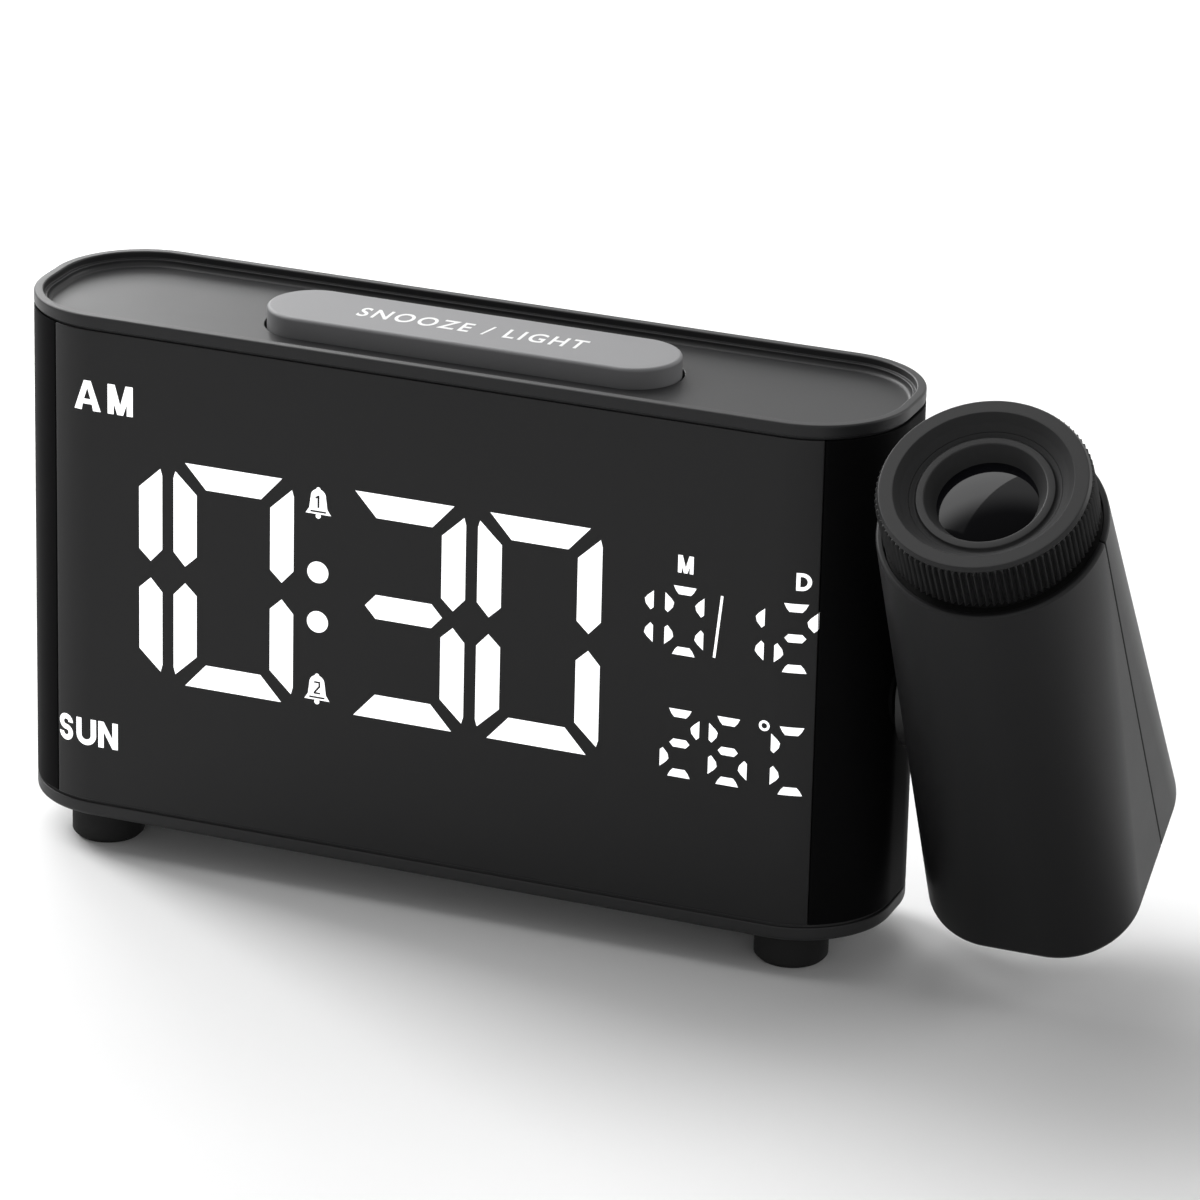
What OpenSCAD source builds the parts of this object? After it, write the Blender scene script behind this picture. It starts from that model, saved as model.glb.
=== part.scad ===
// Projection alarm clock. A slim clock body with round ends stands on four feet, with a smoked
// front panel, a snooze bar in its top tray and a projector arm that tilts on its right end.
// Millimetres. The origin is on the table under the middle of the body: X right, Y back, Z up.

/* [Clock body] */
// Length of the clock body
body_len = 142; // [136:1:172]
// Depth of the clock body, front to back
body_dep = 34.5; // [34:0.5:42]
// Height from the bottom groove to the top groove
body_h = 78; // [74:1:94]
// Plan radius of the four upright corners
corner_r = 14.9; // [10:0.1:16]
// Wall of the rear housing and of the front panel
wall = 2; // [1.6:0.1:2.4]
// Height of the base plate's visible band
base_h = 2.7; // [2.4:0.1:3.5]
// Height of the top cover's visible band
rim_h = 2.1; // [2:0.1:3]
// Height of the shadow grooves above the base and under the rim
groove_h = 0.5; // [0.3:0.1:0.8]
// How far the grooves are cut in
groove_in = 0.7; // [0.5:0.1:1]

/* [Top tray] */
// Width of the rim's top
rim_w = 1.5; // [1.2:0.1:2]
// Ledge half-way down the inside of the rim
rim_step = 0.6; // [0.3:0.1:0.8]
// Depth of the tray below the rim
tray_deep = 2.2; // [1.8:0.1:2.6]
// Thickness of the tray's floor
tray_t = 1.6; // [1.4:0.1:2]

/* [Feet] */
// Height of the rubber feet
foot_h = 6.1; // [5:0.1:8]
// Radius of a foot
foot_r = 5.7; // [4.5:0.1:6.2]
// Distance of a foot's axis from the body's end
foot_end = 13.6; // [12.5:0.1:15]
// Distance of a foot's axis from the body's front or back
foot_side = 8.9; // [7.5:0.1:10]

/* [Front panel] */
// Distance from the panel's upright edge to the body's end
lens_end = 8.45; // [7:0.05:10]
// Depth of the lit windows let into the panel
mark_deep = 0.5; // [0.3:0.1:0.8]
// Height of the big digits
digit_h = 36.6; // [34:0.2:40]
// Width of the big digits
digit_w = 20.1; // [18:0.1:20.4]
// Stroke of the big digits
digit_t = 3.9; // [3:0.1:4.2]
// Height of the small digits
small_h = 11; // [10:0.1:12]
// Width of the small digits
small_w = 6.2; // [5.6:0.1:6.6]
// Stroke of the small digits
small_t = 1.3; // [1:0.1:1.4]

/* [Snooze bar] */
// Length of the snooze bar
bar_len = 67; // [56:1:80]
// Width of the snooze bar
bar_w = 14.8; // [12:0.1:16]
// Height of the bar above the tray's floor
bar_h = 3.1; // [2.4:0.1:4]
// Travel of the snooze bar
bar_travel = 1.2; // [0.6:0.1:1.4]

/* [Rear controls] */
// Radius of a rear button's cap
button_r = 3.3; // [2.6:0.1:4]
// Height of the caps above the back face
button_out = 1.2; // [0.8:0.1:2]
// Travel of a rear button
button_travel = 0.8; // [0.4:0.1:0.9]
// Distance between neighbouring buttons
button_pitch = 14; // [10:0.5:15]

/* [Back-up cell] */
// Diameter of the coin cell
cell_d = 20; // [16:1:20]
// Thickness of the coin cell
cell_t = 3.2; // [2:0.1:3.2]

/* [Projector] */
// Tilt of the arm from upright, towards the front
tilt = 32.5; // [0:0.5:60]
// Height of the pivot above the bottom groove
pivot_up = 34.3; // [33:0.1:48]
// Gap between the body's end and the arm's side
arm_gap = 3.15; // [2.6:0.05:5]
// Radius of the arm's round top
arm_top_r = 17.05; // [16.8:0.05:19]
// Length of the arm's shell above the pivot
arm_up = 44.9; // [44:0.1:52]
// Length of the arm's shell below the pivot
arm_down = 31.3; // [28:0.1:33]
// Half width of the arm's foot end
arm_foot_x = 16.7; // [15:0.1:17]
// Half depth of the arm's foot end
arm_foot_y = 21.1; // [18:0.1:22]
// How far the foot end is set to the front
arm_foot_fwd = 2.5; // [0:0.1:4]
// Corner radius of the foot end
arm_foot_r = 12; // [9:0.1:14]
// Wall of the arm's shells
arm_wall = 1.8; // [1.5:0.1:2]
// Radius of the hollow hinge axle
axle_r = 4.5; // [4:0.1:5]
// Bore of the hinge axle
axle_bore_r = 2.5; // [2.2:0.1:3]

/* [Focus ring and lens] */
// Outer radius of the focus ring
ring_r = 15.95; // [15.6:0.05:16.2]
// Height of the focus ring's knurled side
ring_h = 8.5; // [8.1:0.1:9.5]
// Ribs round the focus ring
ring_ribs = 96; // [60:2:144]
// Depth of the ribs
rib_deep = 0.4; // [0.2:0.05:0.5]
// Radius of the sliding lens barrel
barrel_r = 11.1; // [10.9:0.05:11.3]
// Radius of the projection lens
lens_r = 8.8; // [8.2:0.1:9]
// Radius of the opening in front of the lens
lens_open_r = 7; // [6.6:0.1:7.4]
// Travel of the lens barrel each way from the middle
focus_travel = 1.5; // [0.5:0.1:1.6]

/* [Hidden] */
$fn = 64;
eps = 0.01;
over = 1;                       // how far cutters run past a face
run_gap = 0.08;                 // radial play of a shaft or a slide
part_gap = 0.1;                 // play between pieces of one assembly
free_gap = 0.3;                 // space between pieces that move past each other
board_t = 1.6;                  // circuit boards

half_len = body_len / 2;
half_dep = body_dep / 2;
end_r = min(corner_r, half_dep - part_gap);
base_z = foot_h;
shell_z0 = base_z + base_h + groove_h / 2;
shell_z1 = base_z + base_h + body_h - groove_h / 2;
rim_z = base_z + base_h + body_h + rim_h;
tray_z = rim_z - tray_deep;
tray_under = tray_z - tray_t;
lip_h = 3;                      // locating lips inside the housing
lip_t = 1.5;
lens_x = half_len - lens_end;
ledge_w = 4.4;                  // strips behind the panel's upright edges
ledge_t = 1.2;
ledge_in_x = lens_x - 1.5 * ledge_w;

// Display module, front to back
reflector_t = 4.4;
reflector_y = -half_dep + wall + part_gap;
display_y = reflector_y + reflector_t;
display_back = display_y + board_t;
display_x = min(half_len - end_r - free_gap, ledge_in_x - part_gap);
well_wall = 2.2;
display_z0 = shell_z0 + 7.5;
display_z1 = shell_z1 - 5.6;

// Main board: its rear face carries the switches and the sockets
control_gap = 7.2;
main_back = half_dep - wall - control_gap;
main_front = main_back - board_t;
main_x = display_x;
main_z0 = display_z0;
main_z1 = shell_z1 - 20.5;
post_x = half_len - 22.5;
post_low = main_z0 + 4.5;
post_high = shell_z1 - 16.3;
post_r = 3;
post_thin_r = 2;
screw_r = 1;
screw_head_r = 2.2;
screw_head_h = 1.2;
pilot_gap = 0.05;
board_screw_x = [-24, 4];
switch_w = 6;
switch_h = 3.5;
switch_nub_h = 0.8;
switch_nub_r = 1.75;

// Rear controls
button_x0 = -36;
button_rows = [main_z1 - 6, main_z1 - 17];
button_cols = [for (i = [0:2]) button_x0 + i * button_pitch];
button_flange_r = button_r + 0.9;
button_flange_t = 1;
button_y_in = main_back + switch_h + switch_nub_h + button_travel + part_gap;
button_flange_y = half_dep - wall - free_gap;

// Sockets and sounder on the main board
socket_z = main_z0 + 7.5;
jack_x = 38;
jack_w = 9;
jack_nose_r = 3.8;
jack_bore_r = 2.95;
jack_pin_r = 1;
jack_bore_deep = 7.4;
usb_x = 24;
usb_in_w = 12.5;
usb_in_h = 5.1;
usb_skin = 0.5;
usb_deep = 7.8;
usb_tongue_w = 10.4;
usb_tongue_h = 1.9;
socket_set_in = 0.2;
buzzer_x = 24;
link_x1 = half_len - 17;
link_size = [5, 9, 8];
buzzer_z = main_z1 - 13;
buzzer_r = 6;
buzzer_h = 5.6;
grille_r = 0.9;
grille_pitch = 2.8;
sensor_x = -46;
sensor_z = main_z0 + 22;
vent_w = 8;
vent_h = 1.2;
vent_pitch = 3;

// Snooze bar and its board
bar_gap = 0.35;
bar_top = tray_z + bar_h;
bar_flange_w = 1.7;
bar_flange_t = 1.2;
bar_flange_z = tray_under - free_gap - bar_flange_t;
bar_skin = 1.5;
snooze_board_top = tray_under - 9.1;
snooze_board_x = bar_len / 2 + 9.5;
snooze_board_y = 6.5;
snooze_switch_x = bar_len / 2 - 9.5;
snooze_post_x = bar_len / 2 + 6;
snooze_post_r = 2.6;
stem_r = 2;
stem_z = snooze_board_top + switch_h + switch_nub_h + bar_travel + part_gap;

// Base plate, its screws and the back-up cell
case_screws_xy = [
    [-34, half_dep - 5.05], [34, half_dep - 5.05],
    [-(half_len - 5), 0], [half_len - 5, 0]
];
case_boss_r = 3;
case_boss_h = 6.4;
case_screw_r = 1.3;
case_head_r = 2.6;
case_head_h = 1.6;
foot_plug_r = 2;
foot_plug_h = 1.9;
cell_r = cell_d / 2;
door_t = 1.8;
neck_in_r = cell_r + 0.2;
neck_out_r = neck_in_r + 0.6;
ledge_in_r = neck_out_r + part_gap;
door_r = ledge_in_r + 1.2;
lug_r = ledge_in_r + 0.9;
lug_t = 0.8;
lug_a = 24;
lug_turn = 40;
lug_z = shell_z0 + free_gap;
cell_z = lug_z + lug_t + 0.5;
holder_r = lug_r + 1.8;
holder_roof = 1;
coin_slot_w = 1.6;
coin_slot_l = 13;

// Projector arm, in its own frame: pivot at the origin, Z along the arm
pivot_z = base_z + base_h + pivot_up;
arm_x = half_len + arm_gap + arm_top_r;
function arm_half_w(z) = arm_foot_x + (arm_top_r - arm_foot_x) * (z + arm_down) / (arm_up + arm_down);
arm_edge_r = 1.5;
seam_gap = 0.2;
recess_r = arm_top_r - 1.05;
plate_t = 1.6;
plate_seat = arm_up - 2.7;
plate_ledge_t = 1.6;
plate_ledge_r = 13.6;
rib_z = [18, 28];
rib_t = 1.6;
arm_post_r = 2.4;
arm_screws_x = [-10.5, 10.5];
arm_screw_z = -22;
arm_screw_head_r = 2;
arm_screw_y = arm_foot_y - arm_foot_fwd - 7;

// Hinge, along X
boss_r = 6;
boss_x0 = half_len - 7.4;
boss_x1 = half_len + 0.2;
axle_x0 = boss_x0 - 3;
shoulder_r = 5.6;
shoulder_x0 = boss_x1 + free_gap;
collar_r = 8.5;
collar_x0 = half_len + 1.5;
collar_x1 = arm_x - arm_half_w(collar_r) - part_gap;
flange_r = 7;
flange_x = arm_x - arm_half_w(-flange_r) + arm_wall + 2 * part_gap;
flange_t = 1.5;
axle_x1 = flange_x + flange_t;
washer_t = 0.6;
washer_r = 5.9;
clip_t = 1;
clip_r = 5.8;
clip_groove_r = axle_r - 0.7;
clip_x = boss_x0 - free_gap - washer_t - part_gap - clip_t;
cable_r = 1.9;

// Focus ring and optics, along the arm
neck_r = 13.4;
neck_bore_r = 12.1;
neck_top = arm_up + 5.1;
ring_z0 = arm_up + 1;
ring_z1 = ring_z0 + ring_h;
ring_collar_r = 14.6;
ring_collar_z = plate_seat + plate_t + free_gap;
ring_groove_top = neck_top + free_gap;
ring_tube_z = arm_up + 1.6;
dish_r = 13.1;
dish_z = ring_z1 - 1.3;
barrel_top = ring_z1 - 1.35;
barrel_len = 16.45;
barrel_z0 = barrel_top - barrel_len;
barrel_cone_r = barrel_r - 0.1;
barrel_step_r = barrel_r - 1;           // flat step between the two cones of the barrel's mouth
barrel_step_z = barrel_top - 0.65;
mouth_r = 9.3;
mouth_in_r = 7.9;
mouth_deep = 1;
lens_seat = barrel_top - 3.45;
lens_lip_t = 0.6;
lens_ball_r = 16;
lens_apex = lens_seat + 1.5;
lens_flat = lens_seat - 3.1;
retainer_t = 1.2;
retainer_in_r = 7.2;
key_w = 1.6;
key_in_r = 10.7;
key_top = ring_tube_z - 0.6;
tunnel_r = 10;
tunnel_in_r = 8.8;
tunnel_z0 = 8.8;
tunnel_z1 = 34;
slide_w = 11.5;
slide_t = 1.4;
slide_z = 24;
slide_window = 9;
tunnel_step_r = 7.4;
tunnel_step_z = 13;
condenser_r = 8.5;
condenser_t = 3.6;
led_board_r = 12;
led_r = 2.5;
led_h = 2.4;
sink_half = 9;
sink_h = 13;
sink_base_t = 2.4;
sink_fins = 5;
fin_t = 1.4;

// Places of the marks on the panel, from the middle of the front
mark_z = base_z + base_h + 40.5;
big_x = [-53.9, -31.9, -3.6, 18.45];
small_z1 = base_z + base_h + 46.45;
small_z2 = base_z + base_h + 26.7;
date_x = [33.75, 41.8, 51.4, 59.25];
slash_x = 47.2;
temp_x = [41.6, 49.35];
degree_x = 55;
unit_x = 59.25;
letter_z = base_z + base_h + 55.5;
letter_h = 2.8;
month_x = 41.8;
day_x = 60.2;
ampm_x = [-56.45, -50.9];
ampm_z = base_z + base_h + 67.25;
ampm_h = 4.8;
day_name_x = [-60.75, -57, -53.2];
day_name_z = base_z + base_h + 11.5;
day_name_h = 4.4;
colon_x = -17.8;
colon_up = 4.05;
colon_r = 1.75;
bell_up = 15.2;

// ---------- shared shapes ----------

// The body's plan outline, drawn in by inset
module outline(inset = 0) {
    r = end_r - inset;
    square([body_len - 2 * end_r, body_dep - 2 * inset], center = true);
    square([body_len - 2 * inset, body_dep - 2 * end_r], center = true);
    for (x = [-1, 1], y = [-1, 1])
        translate([x * (half_len - end_r), y * (half_dep - end_r)]) circle(r = r);
}

module slab(inset, z0, z1) {
    translate([0, 0, z0]) linear_extrude(z1 - z0) outline(inset);
}

// An upright wall that follows the plan outline
module wall_ring(outer, inner, z0, z1) {
    translate([0, 0, z0]) linear_extrude(z1 - z0) difference() {
        outline(outer);
        outline(inner);
    }
}

module stadium(len, wid, h) {
    linear_extrude(h) {
        square([len - wid, wid], center = true);
        for (s = [-1, 1]) translate([s * (len - wid) / 2, 0]) circle(r = wid / 2);
    }
}

module tube(r_out, r_in, h) {
    linear_extrude(h) difference() {
        circle(r = r_out);
        circle(r = r_in);
    }
}

// A cylinder along Y between two depths
module rod_y(r, x, z, y0, y1) {
    translate([x, y1, z]) rotate([90, 0, 0]) cylinder(r = r, h = y1 - y0);
}

// A cylinder along X between two places
module rod_x(r, z, x0, x1) {
    translate([x0, 0, z]) rotate([0, 90, 0]) cylinder(r = r, h = x1 - x0);
}

module box_between(a, b) {
    translate(a) cube(b - a);
}

// A screw along Z: shank below, head on top
module screw(shank_r, shank_l, head_r, head_h) {
    translate([0, 0, -shank_l]) cylinder(r = shank_r, h = shank_l);
    difference() {
        cylinder(r = head_r, h = head_h);
        for (a = [0, 90]) rotate([0, 0, a])
            translate([-head_r * 0.6, -0.25, head_h * 0.4]) cube([head_r * 1.2, 0.5, head_h]);
    }
}

// A momentary switch along Z
module tact_switch() {
    translate([-switch_w / 2, -switch_w / 2, 0]) cube([switch_w, switch_w, switch_h]);
    translate([0, 0, switch_h - eps]) cylinder(r = switch_nub_r, h = switch_nub_h + eps);
}

// ---------- marks on the front panel ----------

// Corner points of one big segment, for a digit centred on the origin
function big_segment(s, a, b, t) =
    s == "a" ? [[t / 2 - a, b], [a - t / 2, b], [a - 1.4 * t, b - t], [1.4 * t - a, b - t]] :
    s == "b" ? [[a - 0.08 * t, b - 0.41 * t], [a, b - 0.7 * t], [a, 0.9 * t], [a - t / 2, 0.35 * t],
                [a - t, 0.82 * t], [a - t, b - 1.28 * t]] :
    [[a - 0.95 * t, 0], [a - 1.4 * t, t / 2], [1.4 * t - a, t / 2], [0.95 * t - a, 0],
     [1.4 * t - a, -t / 2], [a - 1.4 * t, -t / 2]];

// Small segments are leaf shaped: straight outside, bulging inside
function small_segment(s, a, b, t) =
    s == "a" ? [[t - a, b], [a - t, b], [a - 1.3 * t, b - 0.6 * t], [a - 1.65 * t, b - t],
                [1.65 * t - a, b - t], [1.3 * t - a, b - 0.6 * t]] :
    s == "b" ? [[a, b - 1.05 * t], [a, 1.1 * t], [a - 0.35 * t, 0.8 * t], [a - 0.95 * t, 1.5 * t],
                [a - 1.08 * t, 2.1 * t], [a - 0.75 * t, b - 1.7 * t]] :
    [[a - 1.15 * t, 0], [a - 1.6 * t, t / 2], [1.6 * t - a, t / 2], [1.15 * t - a, 0],
     [1.6 * t - a, -t / 2], [a - 1.6 * t, -t / 2]];

// The other segments are mirror images of the top one and the upper right one
function source_of(s) = s == "d" ? "a" : (s == "c" || s == "e" || s == "f") ? "b" : s;
function flip_x(s) = (s == "e" || s == "f") ? -1 : 1;
function flip_z(s) = (s == "c" || s == "d" || s == "e") ? -1 : 1;

module digit(segments, w, h, t, small) {
    for (s = segments) {
        k = source_of(s);
        points = small ? small_segment(k, w / 2, h / 2, t) : big_segment(k, w / 2, h / 2, t);
        polygon([for (p = points) [flip_x(s) * p[0], flip_z(s) * p[1]]]);
    }
}

module stroke(a, b, t) {
    d = (b - a) / norm(b - a) * t / 2;
    n = [-d[1], d[0]];
    polygon([a + n, b + n, b - n, a - n]);
}

// Capital letters, h high, centred on the origin
module letter(c, h) {
    u = h / 5;
    t = 1.05 * u;
    top = h / 2;
    if (c == "A") difference() {
        polygon([[-2.35 * u, -top], [-0.6 * u, top], [0.6 * u, top], [2.35 * u, -top]]);
        polygon([[-1.2 * u, -top - u], [-0.82 * u, -1.45 * u], [0.82 * u, -1.45 * u], [1.2 * u, -top - u]]);
        polygon([[-0.6 * u, -0.6 * u], [0, 1.25 * u], [0.6 * u, -0.6 * u]]);
    }
    if (c == "M") difference() {
        square([4.4 * u, h], center = true);
        polygon([[-0.95 * u, top], [0, -0.9 * u], [0.95 * u, top], [0.95 * u, h], [-0.95 * u, h]]);
        for (s = [-1, 1])
            polygon([[s * (2.2 * u - t), -h], [s * (2.2 * u - t), -0.6 * u], [s * 0.5 * u, -top],
                [s * 0.5 * u, -h]]);
    }
    if (c == "N") difference() {
        square([3.8 * u, h], center = true);
        for (s = [-1, 1])
            polygon([[-s * 0.85 * u, s * top], [s * 0.85 * u, -s * 0.6 * u], [s * 0.85 * u, s * h],
                [-s * 0.85 * u, s * h]]);
    }
    if (c == "U") {
        for (s = [-1, 1]) translate([s * 1.45 * u - t / 2, -0.7 * u]) square([t, top + 0.7 * u]);
        translate([0, -0.55 * u]) half_ring(1.98 * u, 0.93 * u, -1);
    }
    if (c == "D") {
        translate([-1.9 * u, -top]) square([t, h]);
        for (s = [-1, 1]) translate([-1.9 * u, s * (top - t / 2) - t / 2]) square([1.5 * u, t]);
        translate([-0.42 * u, 0]) rotate([0, 0, -90]) half_ring(top, top - t, 1);
    }
    if (c == "S") {
        for (s = [-1, 1]) rotate([0, 0, s > 0 ? 0 : 180]) translate([0, top - 1.5 * u]) difference() {
            circle(r = 1.5 * u);
            circle(r = 0.52 * u);
            translate([0, -2 * u]) square([2 * u, 2 * u]);
        }
    }
}

// Half of a ring, on the upper side (side = 1) or the lower side (side = -1)
module half_ring(r_out, r_in, side) {
    intersection() {
        difference() {
            circle(r = r_out);
            circle(r = r_in);
        }
        translate([-r_out, side > 0 ? 0 : -r_out]) square([2 * r_out, r_out]);
    }
}

module bell(number) {
    difference() {
        union() {
            translate([0, 1.1]) circle(r = 1.25);
            translate([0, 2.3]) circle(r = 0.35);
            polygon([[-1.25, 1.1], [1.25, 1.1], [1.5, -0.8], [2.1, -1.7], [-2.1, -1.7], [-1.5, -0.8]]);
            translate([0, -2]) circle(r = 0.42);
        }
        translate([-1.3, -1.45]) square([2.6, 0.3]);
        if (number == 1) {
            translate([-0.15, -0.7]) square([0.34, 2]);
            stroke([0.1, 1.25], [-0.45, 0.85], 0.3);
        } else {
            stroke([-0.5, 1.2], [0.5, 1.2], 0.3);
            stroke([0.4, 1.3], [0.4, 0.35], 0.3);
            stroke([0.4, 0.5], [-0.45, -0.55], 0.3);
            stroke([-0.55, -0.6], [0.55, -0.6], 0.3);
        }
    }
}

// Every mark, drawn flat with X right and Y up
module marks_flat() {
    faces = ["bc", "abcdef", "abcdg", "abcdef"];
    for (i = [0:3]) translate([big_x[i], mark_z]) digit(faces[i], digit_w, digit_h, digit_t, false);
    for (s = [-1, 1]) {
        translate([colon_x, mark_z + s * colon_up]) circle(r = colon_r);
        translate([colon_x, mark_z + s * bell_up]) bell(s > 0 ? 1 : 2);
    }
    date_faces = ["bc", "abcdef", "bc", "abdeg"];
    for (i = [0:3]) translate([date_x[i], small_z1]) digit(date_faces[i], small_w, small_h, small_t, true);
    translate([slash_x, small_z1]) stroke([-0.5, -5], [0.5, 5], 0.4);
    temp_faces = ["abdeg", "acdefg"];
    for (i = [0:1]) translate([temp_x[i], small_z2]) digit(temp_faces[i], small_w, small_h, small_t, true);
    translate([unit_x, small_z2]) digit("adef", small_w, small_h, small_t, true);
    translate([degree_x, small_z2 + small_h / 2 - 0.3]) difference() {
        circle(r = 0.85);
        circle(r = 0.45);
    }
    translate([month_x, letter_z]) letter("M", letter_h);
    translate([day_x, letter_z]) letter("D", letter_h);
    translate([ampm_x[0], ampm_z]) letter("A", ampm_h);
    translate([ampm_x[1], ampm_z]) letter("M", ampm_h);
    day_name = ["S", "U", "N"];
    for (i = [0:2]) translate([day_name_x[i], day_name_z]) letter(day_name[i], day_name_h);
}

// The marks as solids that end at the panel's own surface
module mark_windows() {
    intersection() {
        wall_ring(0, mark_deep, shell_z0, shell_z1);
        rotate([90, 0, 0]) linear_extrude(half_dep + over) marks_flat();
    }
}

// ---------- clock body ----------

module rear_housing() color([0.03, 0.03, 0.035]) {
    difference() {
        union() {
            wall_ring(0, wall, shell_z0, shell_z1);
            for (s = [-1, 1]) lens_ledge(s);
            for (x = [-post_x, post_x]) {
                rod_y(post_r, x, post_low, main_back, half_dep - wall / 2);
                rod_y(post_thin_r, x, post_low, display_back, main_back + eps);
                rod_y(post_r - 0.4, x, post_high, display_back, half_dep - wall / 2);
            }
            for (x = board_screw_x) rod_y(post_r, x, post_low, main_back, half_dep - wall / 2);
            intersection() {
                case_bosses(case_boss_r);
                slab(wall / 2, shell_z0, shell_z1);
            }
            rod_x(boss_r, pivot_z, boss_x0, boss_x1);
        }
        box_between([-lens_x, -half_dep - over, shell_z0 - over],
            [lens_x, -half_dep + wall + eps, shell_z1 + over]);
        lens_side_cut();
        rod_x(axle_r + run_gap, pivot_z, boss_x0 - over, boss_x1 + over);
        for (p = case_screws_xy) translate([p[0], p[1], shell_z0 - over])
            cylinder(r = case_screw_r + pilot_gap, h = case_boss_h + over - 0.8);
        for (x = [-post_x, post_x], z = [post_low, post_high])
            rod_y(screw_r + pilot_gap, x, z, display_back - over, display_back + 6.5);
        for (x = board_screw_x) rod_y(screw_r + pilot_gap, x, post_low, main_back - over, main_back + 5.5);
        for (x = button_cols, z = button_rows)
            rod_y(button_r + 0.15, x, z, half_dep - wall - over, half_dep + over);
        rod_y(jack_nose_r + 0.2, jack_x, socket_z, half_dep - wall - over, half_dep + over);
        box_between(
            [usb_x - usb_in_w / 2 - usb_skin - 0.25, half_dep - wall - over,
                socket_z - usb_in_h / 2 - usb_skin - 0.25],
            [usb_x + usb_in_w / 2 + usb_skin + 0.25, half_dep + over,
                socket_z + usb_in_h / 2 + usb_skin + 0.25]);
        rod_y(grille_r, buzzer_x, buzzer_z, half_dep - wall - over, half_dep + over);
        for (a = [0:60:300])
            rod_y(grille_r, buzzer_x + grille_pitch * cos(a), buzzer_z + grille_pitch * sin(a),
                  half_dep - wall - over, half_dep + over);
        for (i = [-1:1]) box_between(
            [sensor_x - vent_w / 2, half_dep - wall - over, sensor_z + i * vent_pitch - vent_h / 2],
            [sensor_x + vent_w / 2, half_dep + over, sensor_z + i * vent_pitch + vent_h / 2]);
    }
}

// Strip inside the housing that the panel's upright edge is bonded to
module lens_ledge(s) {
    intersection() {
        wall_ring(wall / 2, wall + ledge_t, shell_z0 + lip_h + free_gap, shell_z1 - lip_h - free_gap);
        box_between([s * (lens_x - ledge_w / 2) - ledge_w, -half_dep, shell_z0],
                    [s * (lens_x - ledge_w / 2) + ledge_w, -half_dep / 4, shell_z1]);
    }
}

// The panel's place in the housing's front, where it follows the round corners
module lens_side_cut() {
    intersection() {
        wall_ring(-over, wall + part_gap, shell_z0 - over, shell_z1 + over);
        box_between([-lens_x, -half_dep - over, shell_z0 - over], [lens_x, 0, shell_z1 + over]);
    }
}

module case_bosses(r) {
    for (p = case_screws_xy) translate([p[0], p[1], shell_z0]) {
        cylinder(r = r, h = case_boss_h);
        if (p[1] > 0) translate([-r, 0, 0]) cube([2 * r, case_boss_r + wall, case_boss_h]);
        else translate([p[0] > 0 ? 0 : -case_boss_r - wall, -r, 0])
            cube([case_boss_r + wall, 2 * r, case_boss_h]);
    }
}

module front_lens() color([0.16, 0.16, 0.165]) {
    difference() {
        intersection() {
            wall_ring(0, wall, shell_z0, shell_z1);
            box_between([-lens_x, -half_dep - over, shell_z0 - over], [lens_x, 0, shell_z1 + over]);
        }
        mark_windows();
    }
}

module display_segments() color([1, 1, 1]) mark_windows();

module top_cover() color([0.19, 0.19, 0.195]) {
    difference() {
        union() {
            slab(0, shell_z1 + groove_h, rim_z);
            slab(groove_in, shell_z1, shell_z1 + groove_h);
            slab(wall + part_gap, shell_z1 - lip_h, shell_z1);
        }
        slab(rim_w, tray_z + tray_deep / 2, rim_z + over);
        slab(rim_w + rim_step, tray_z, rim_z + over);
        difference() {
            slab(wall + part_gap + lip_t, shell_z1 - lip_h - over, tray_under);
            for (x = [-snooze_post_x, snooze_post_x]) translate([x, 0, shell_z0])
                cylinder(r = snooze_post_r, h = body_h);
        }
        translate([0, 0, tray_under - over])
            stadium(bar_len + 2 * bar_gap, bar_w + 2 * bar_gap, tray_t + 2 * over);
    }
    for (x = [-snooze_post_x, snooze_post_x]) translate([x, 0, snooze_board_top]) difference() {
        cylinder(r = snooze_post_r, h = tray_under - snooze_board_top + eps);
        translate([0, 0, -over]) cylinder(r = screw_r + pilot_gap, h = 6 + over);
    }
}

module base_plate() color([0.17, 0.17, 0.175]) {
    difference() {
        union() {
            slab(0, base_z, shell_z0 - groove_h);
            slab(groove_in, shell_z0 - groove_h - eps, shell_z0);
            difference() {
                wall_ring(wall + part_gap, wall + part_gap + lip_t, shell_z0 - eps, shell_z0 + lip_h);
                case_bosses(case_boss_r + free_gap);
            }
        }
        for (p = case_screws_xy) translate([p[0], p[1], base_z - over]) {
            cylinder(r = case_screw_r + part_gap, h = base_h + 2 * over);
            cylinder(r = case_head_r + part_gap, h = over + case_head_h);
        }
        for (x = [-1, 1], y = [-1, 1])
            translate([x * (half_len - foot_end), y * (half_dep - foot_side), base_z - over])
            cylinder(r = foot_plug_r + run_gap, h = foot_plug_h + part_gap + over);
        translate([0, 0, base_z - over]) cylinder(r = door_r + 0.15, h = over + door_t + 0.15);
        translate([0, 0, base_z]) cylinder(r = ledge_in_r, h = base_h + over);
        for (s = [0, 180]) translate([0, 0, base_z]) rotate([0, 0, s + lug_turn])
            lug_sector(ledge_in_r - eps, lug_r + part_gap, lug_a + 4, base_h + over);
    }
}

// A piece of a ring, a degrees wide, centred on +X
module lug_sector(r_in, r_out, a, h) {
    rotate([0, 0, -a / 2]) rotate_extrude(angle = a)
        translate([r_in, 0]) square([r_out - r_in, h]);
}

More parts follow.
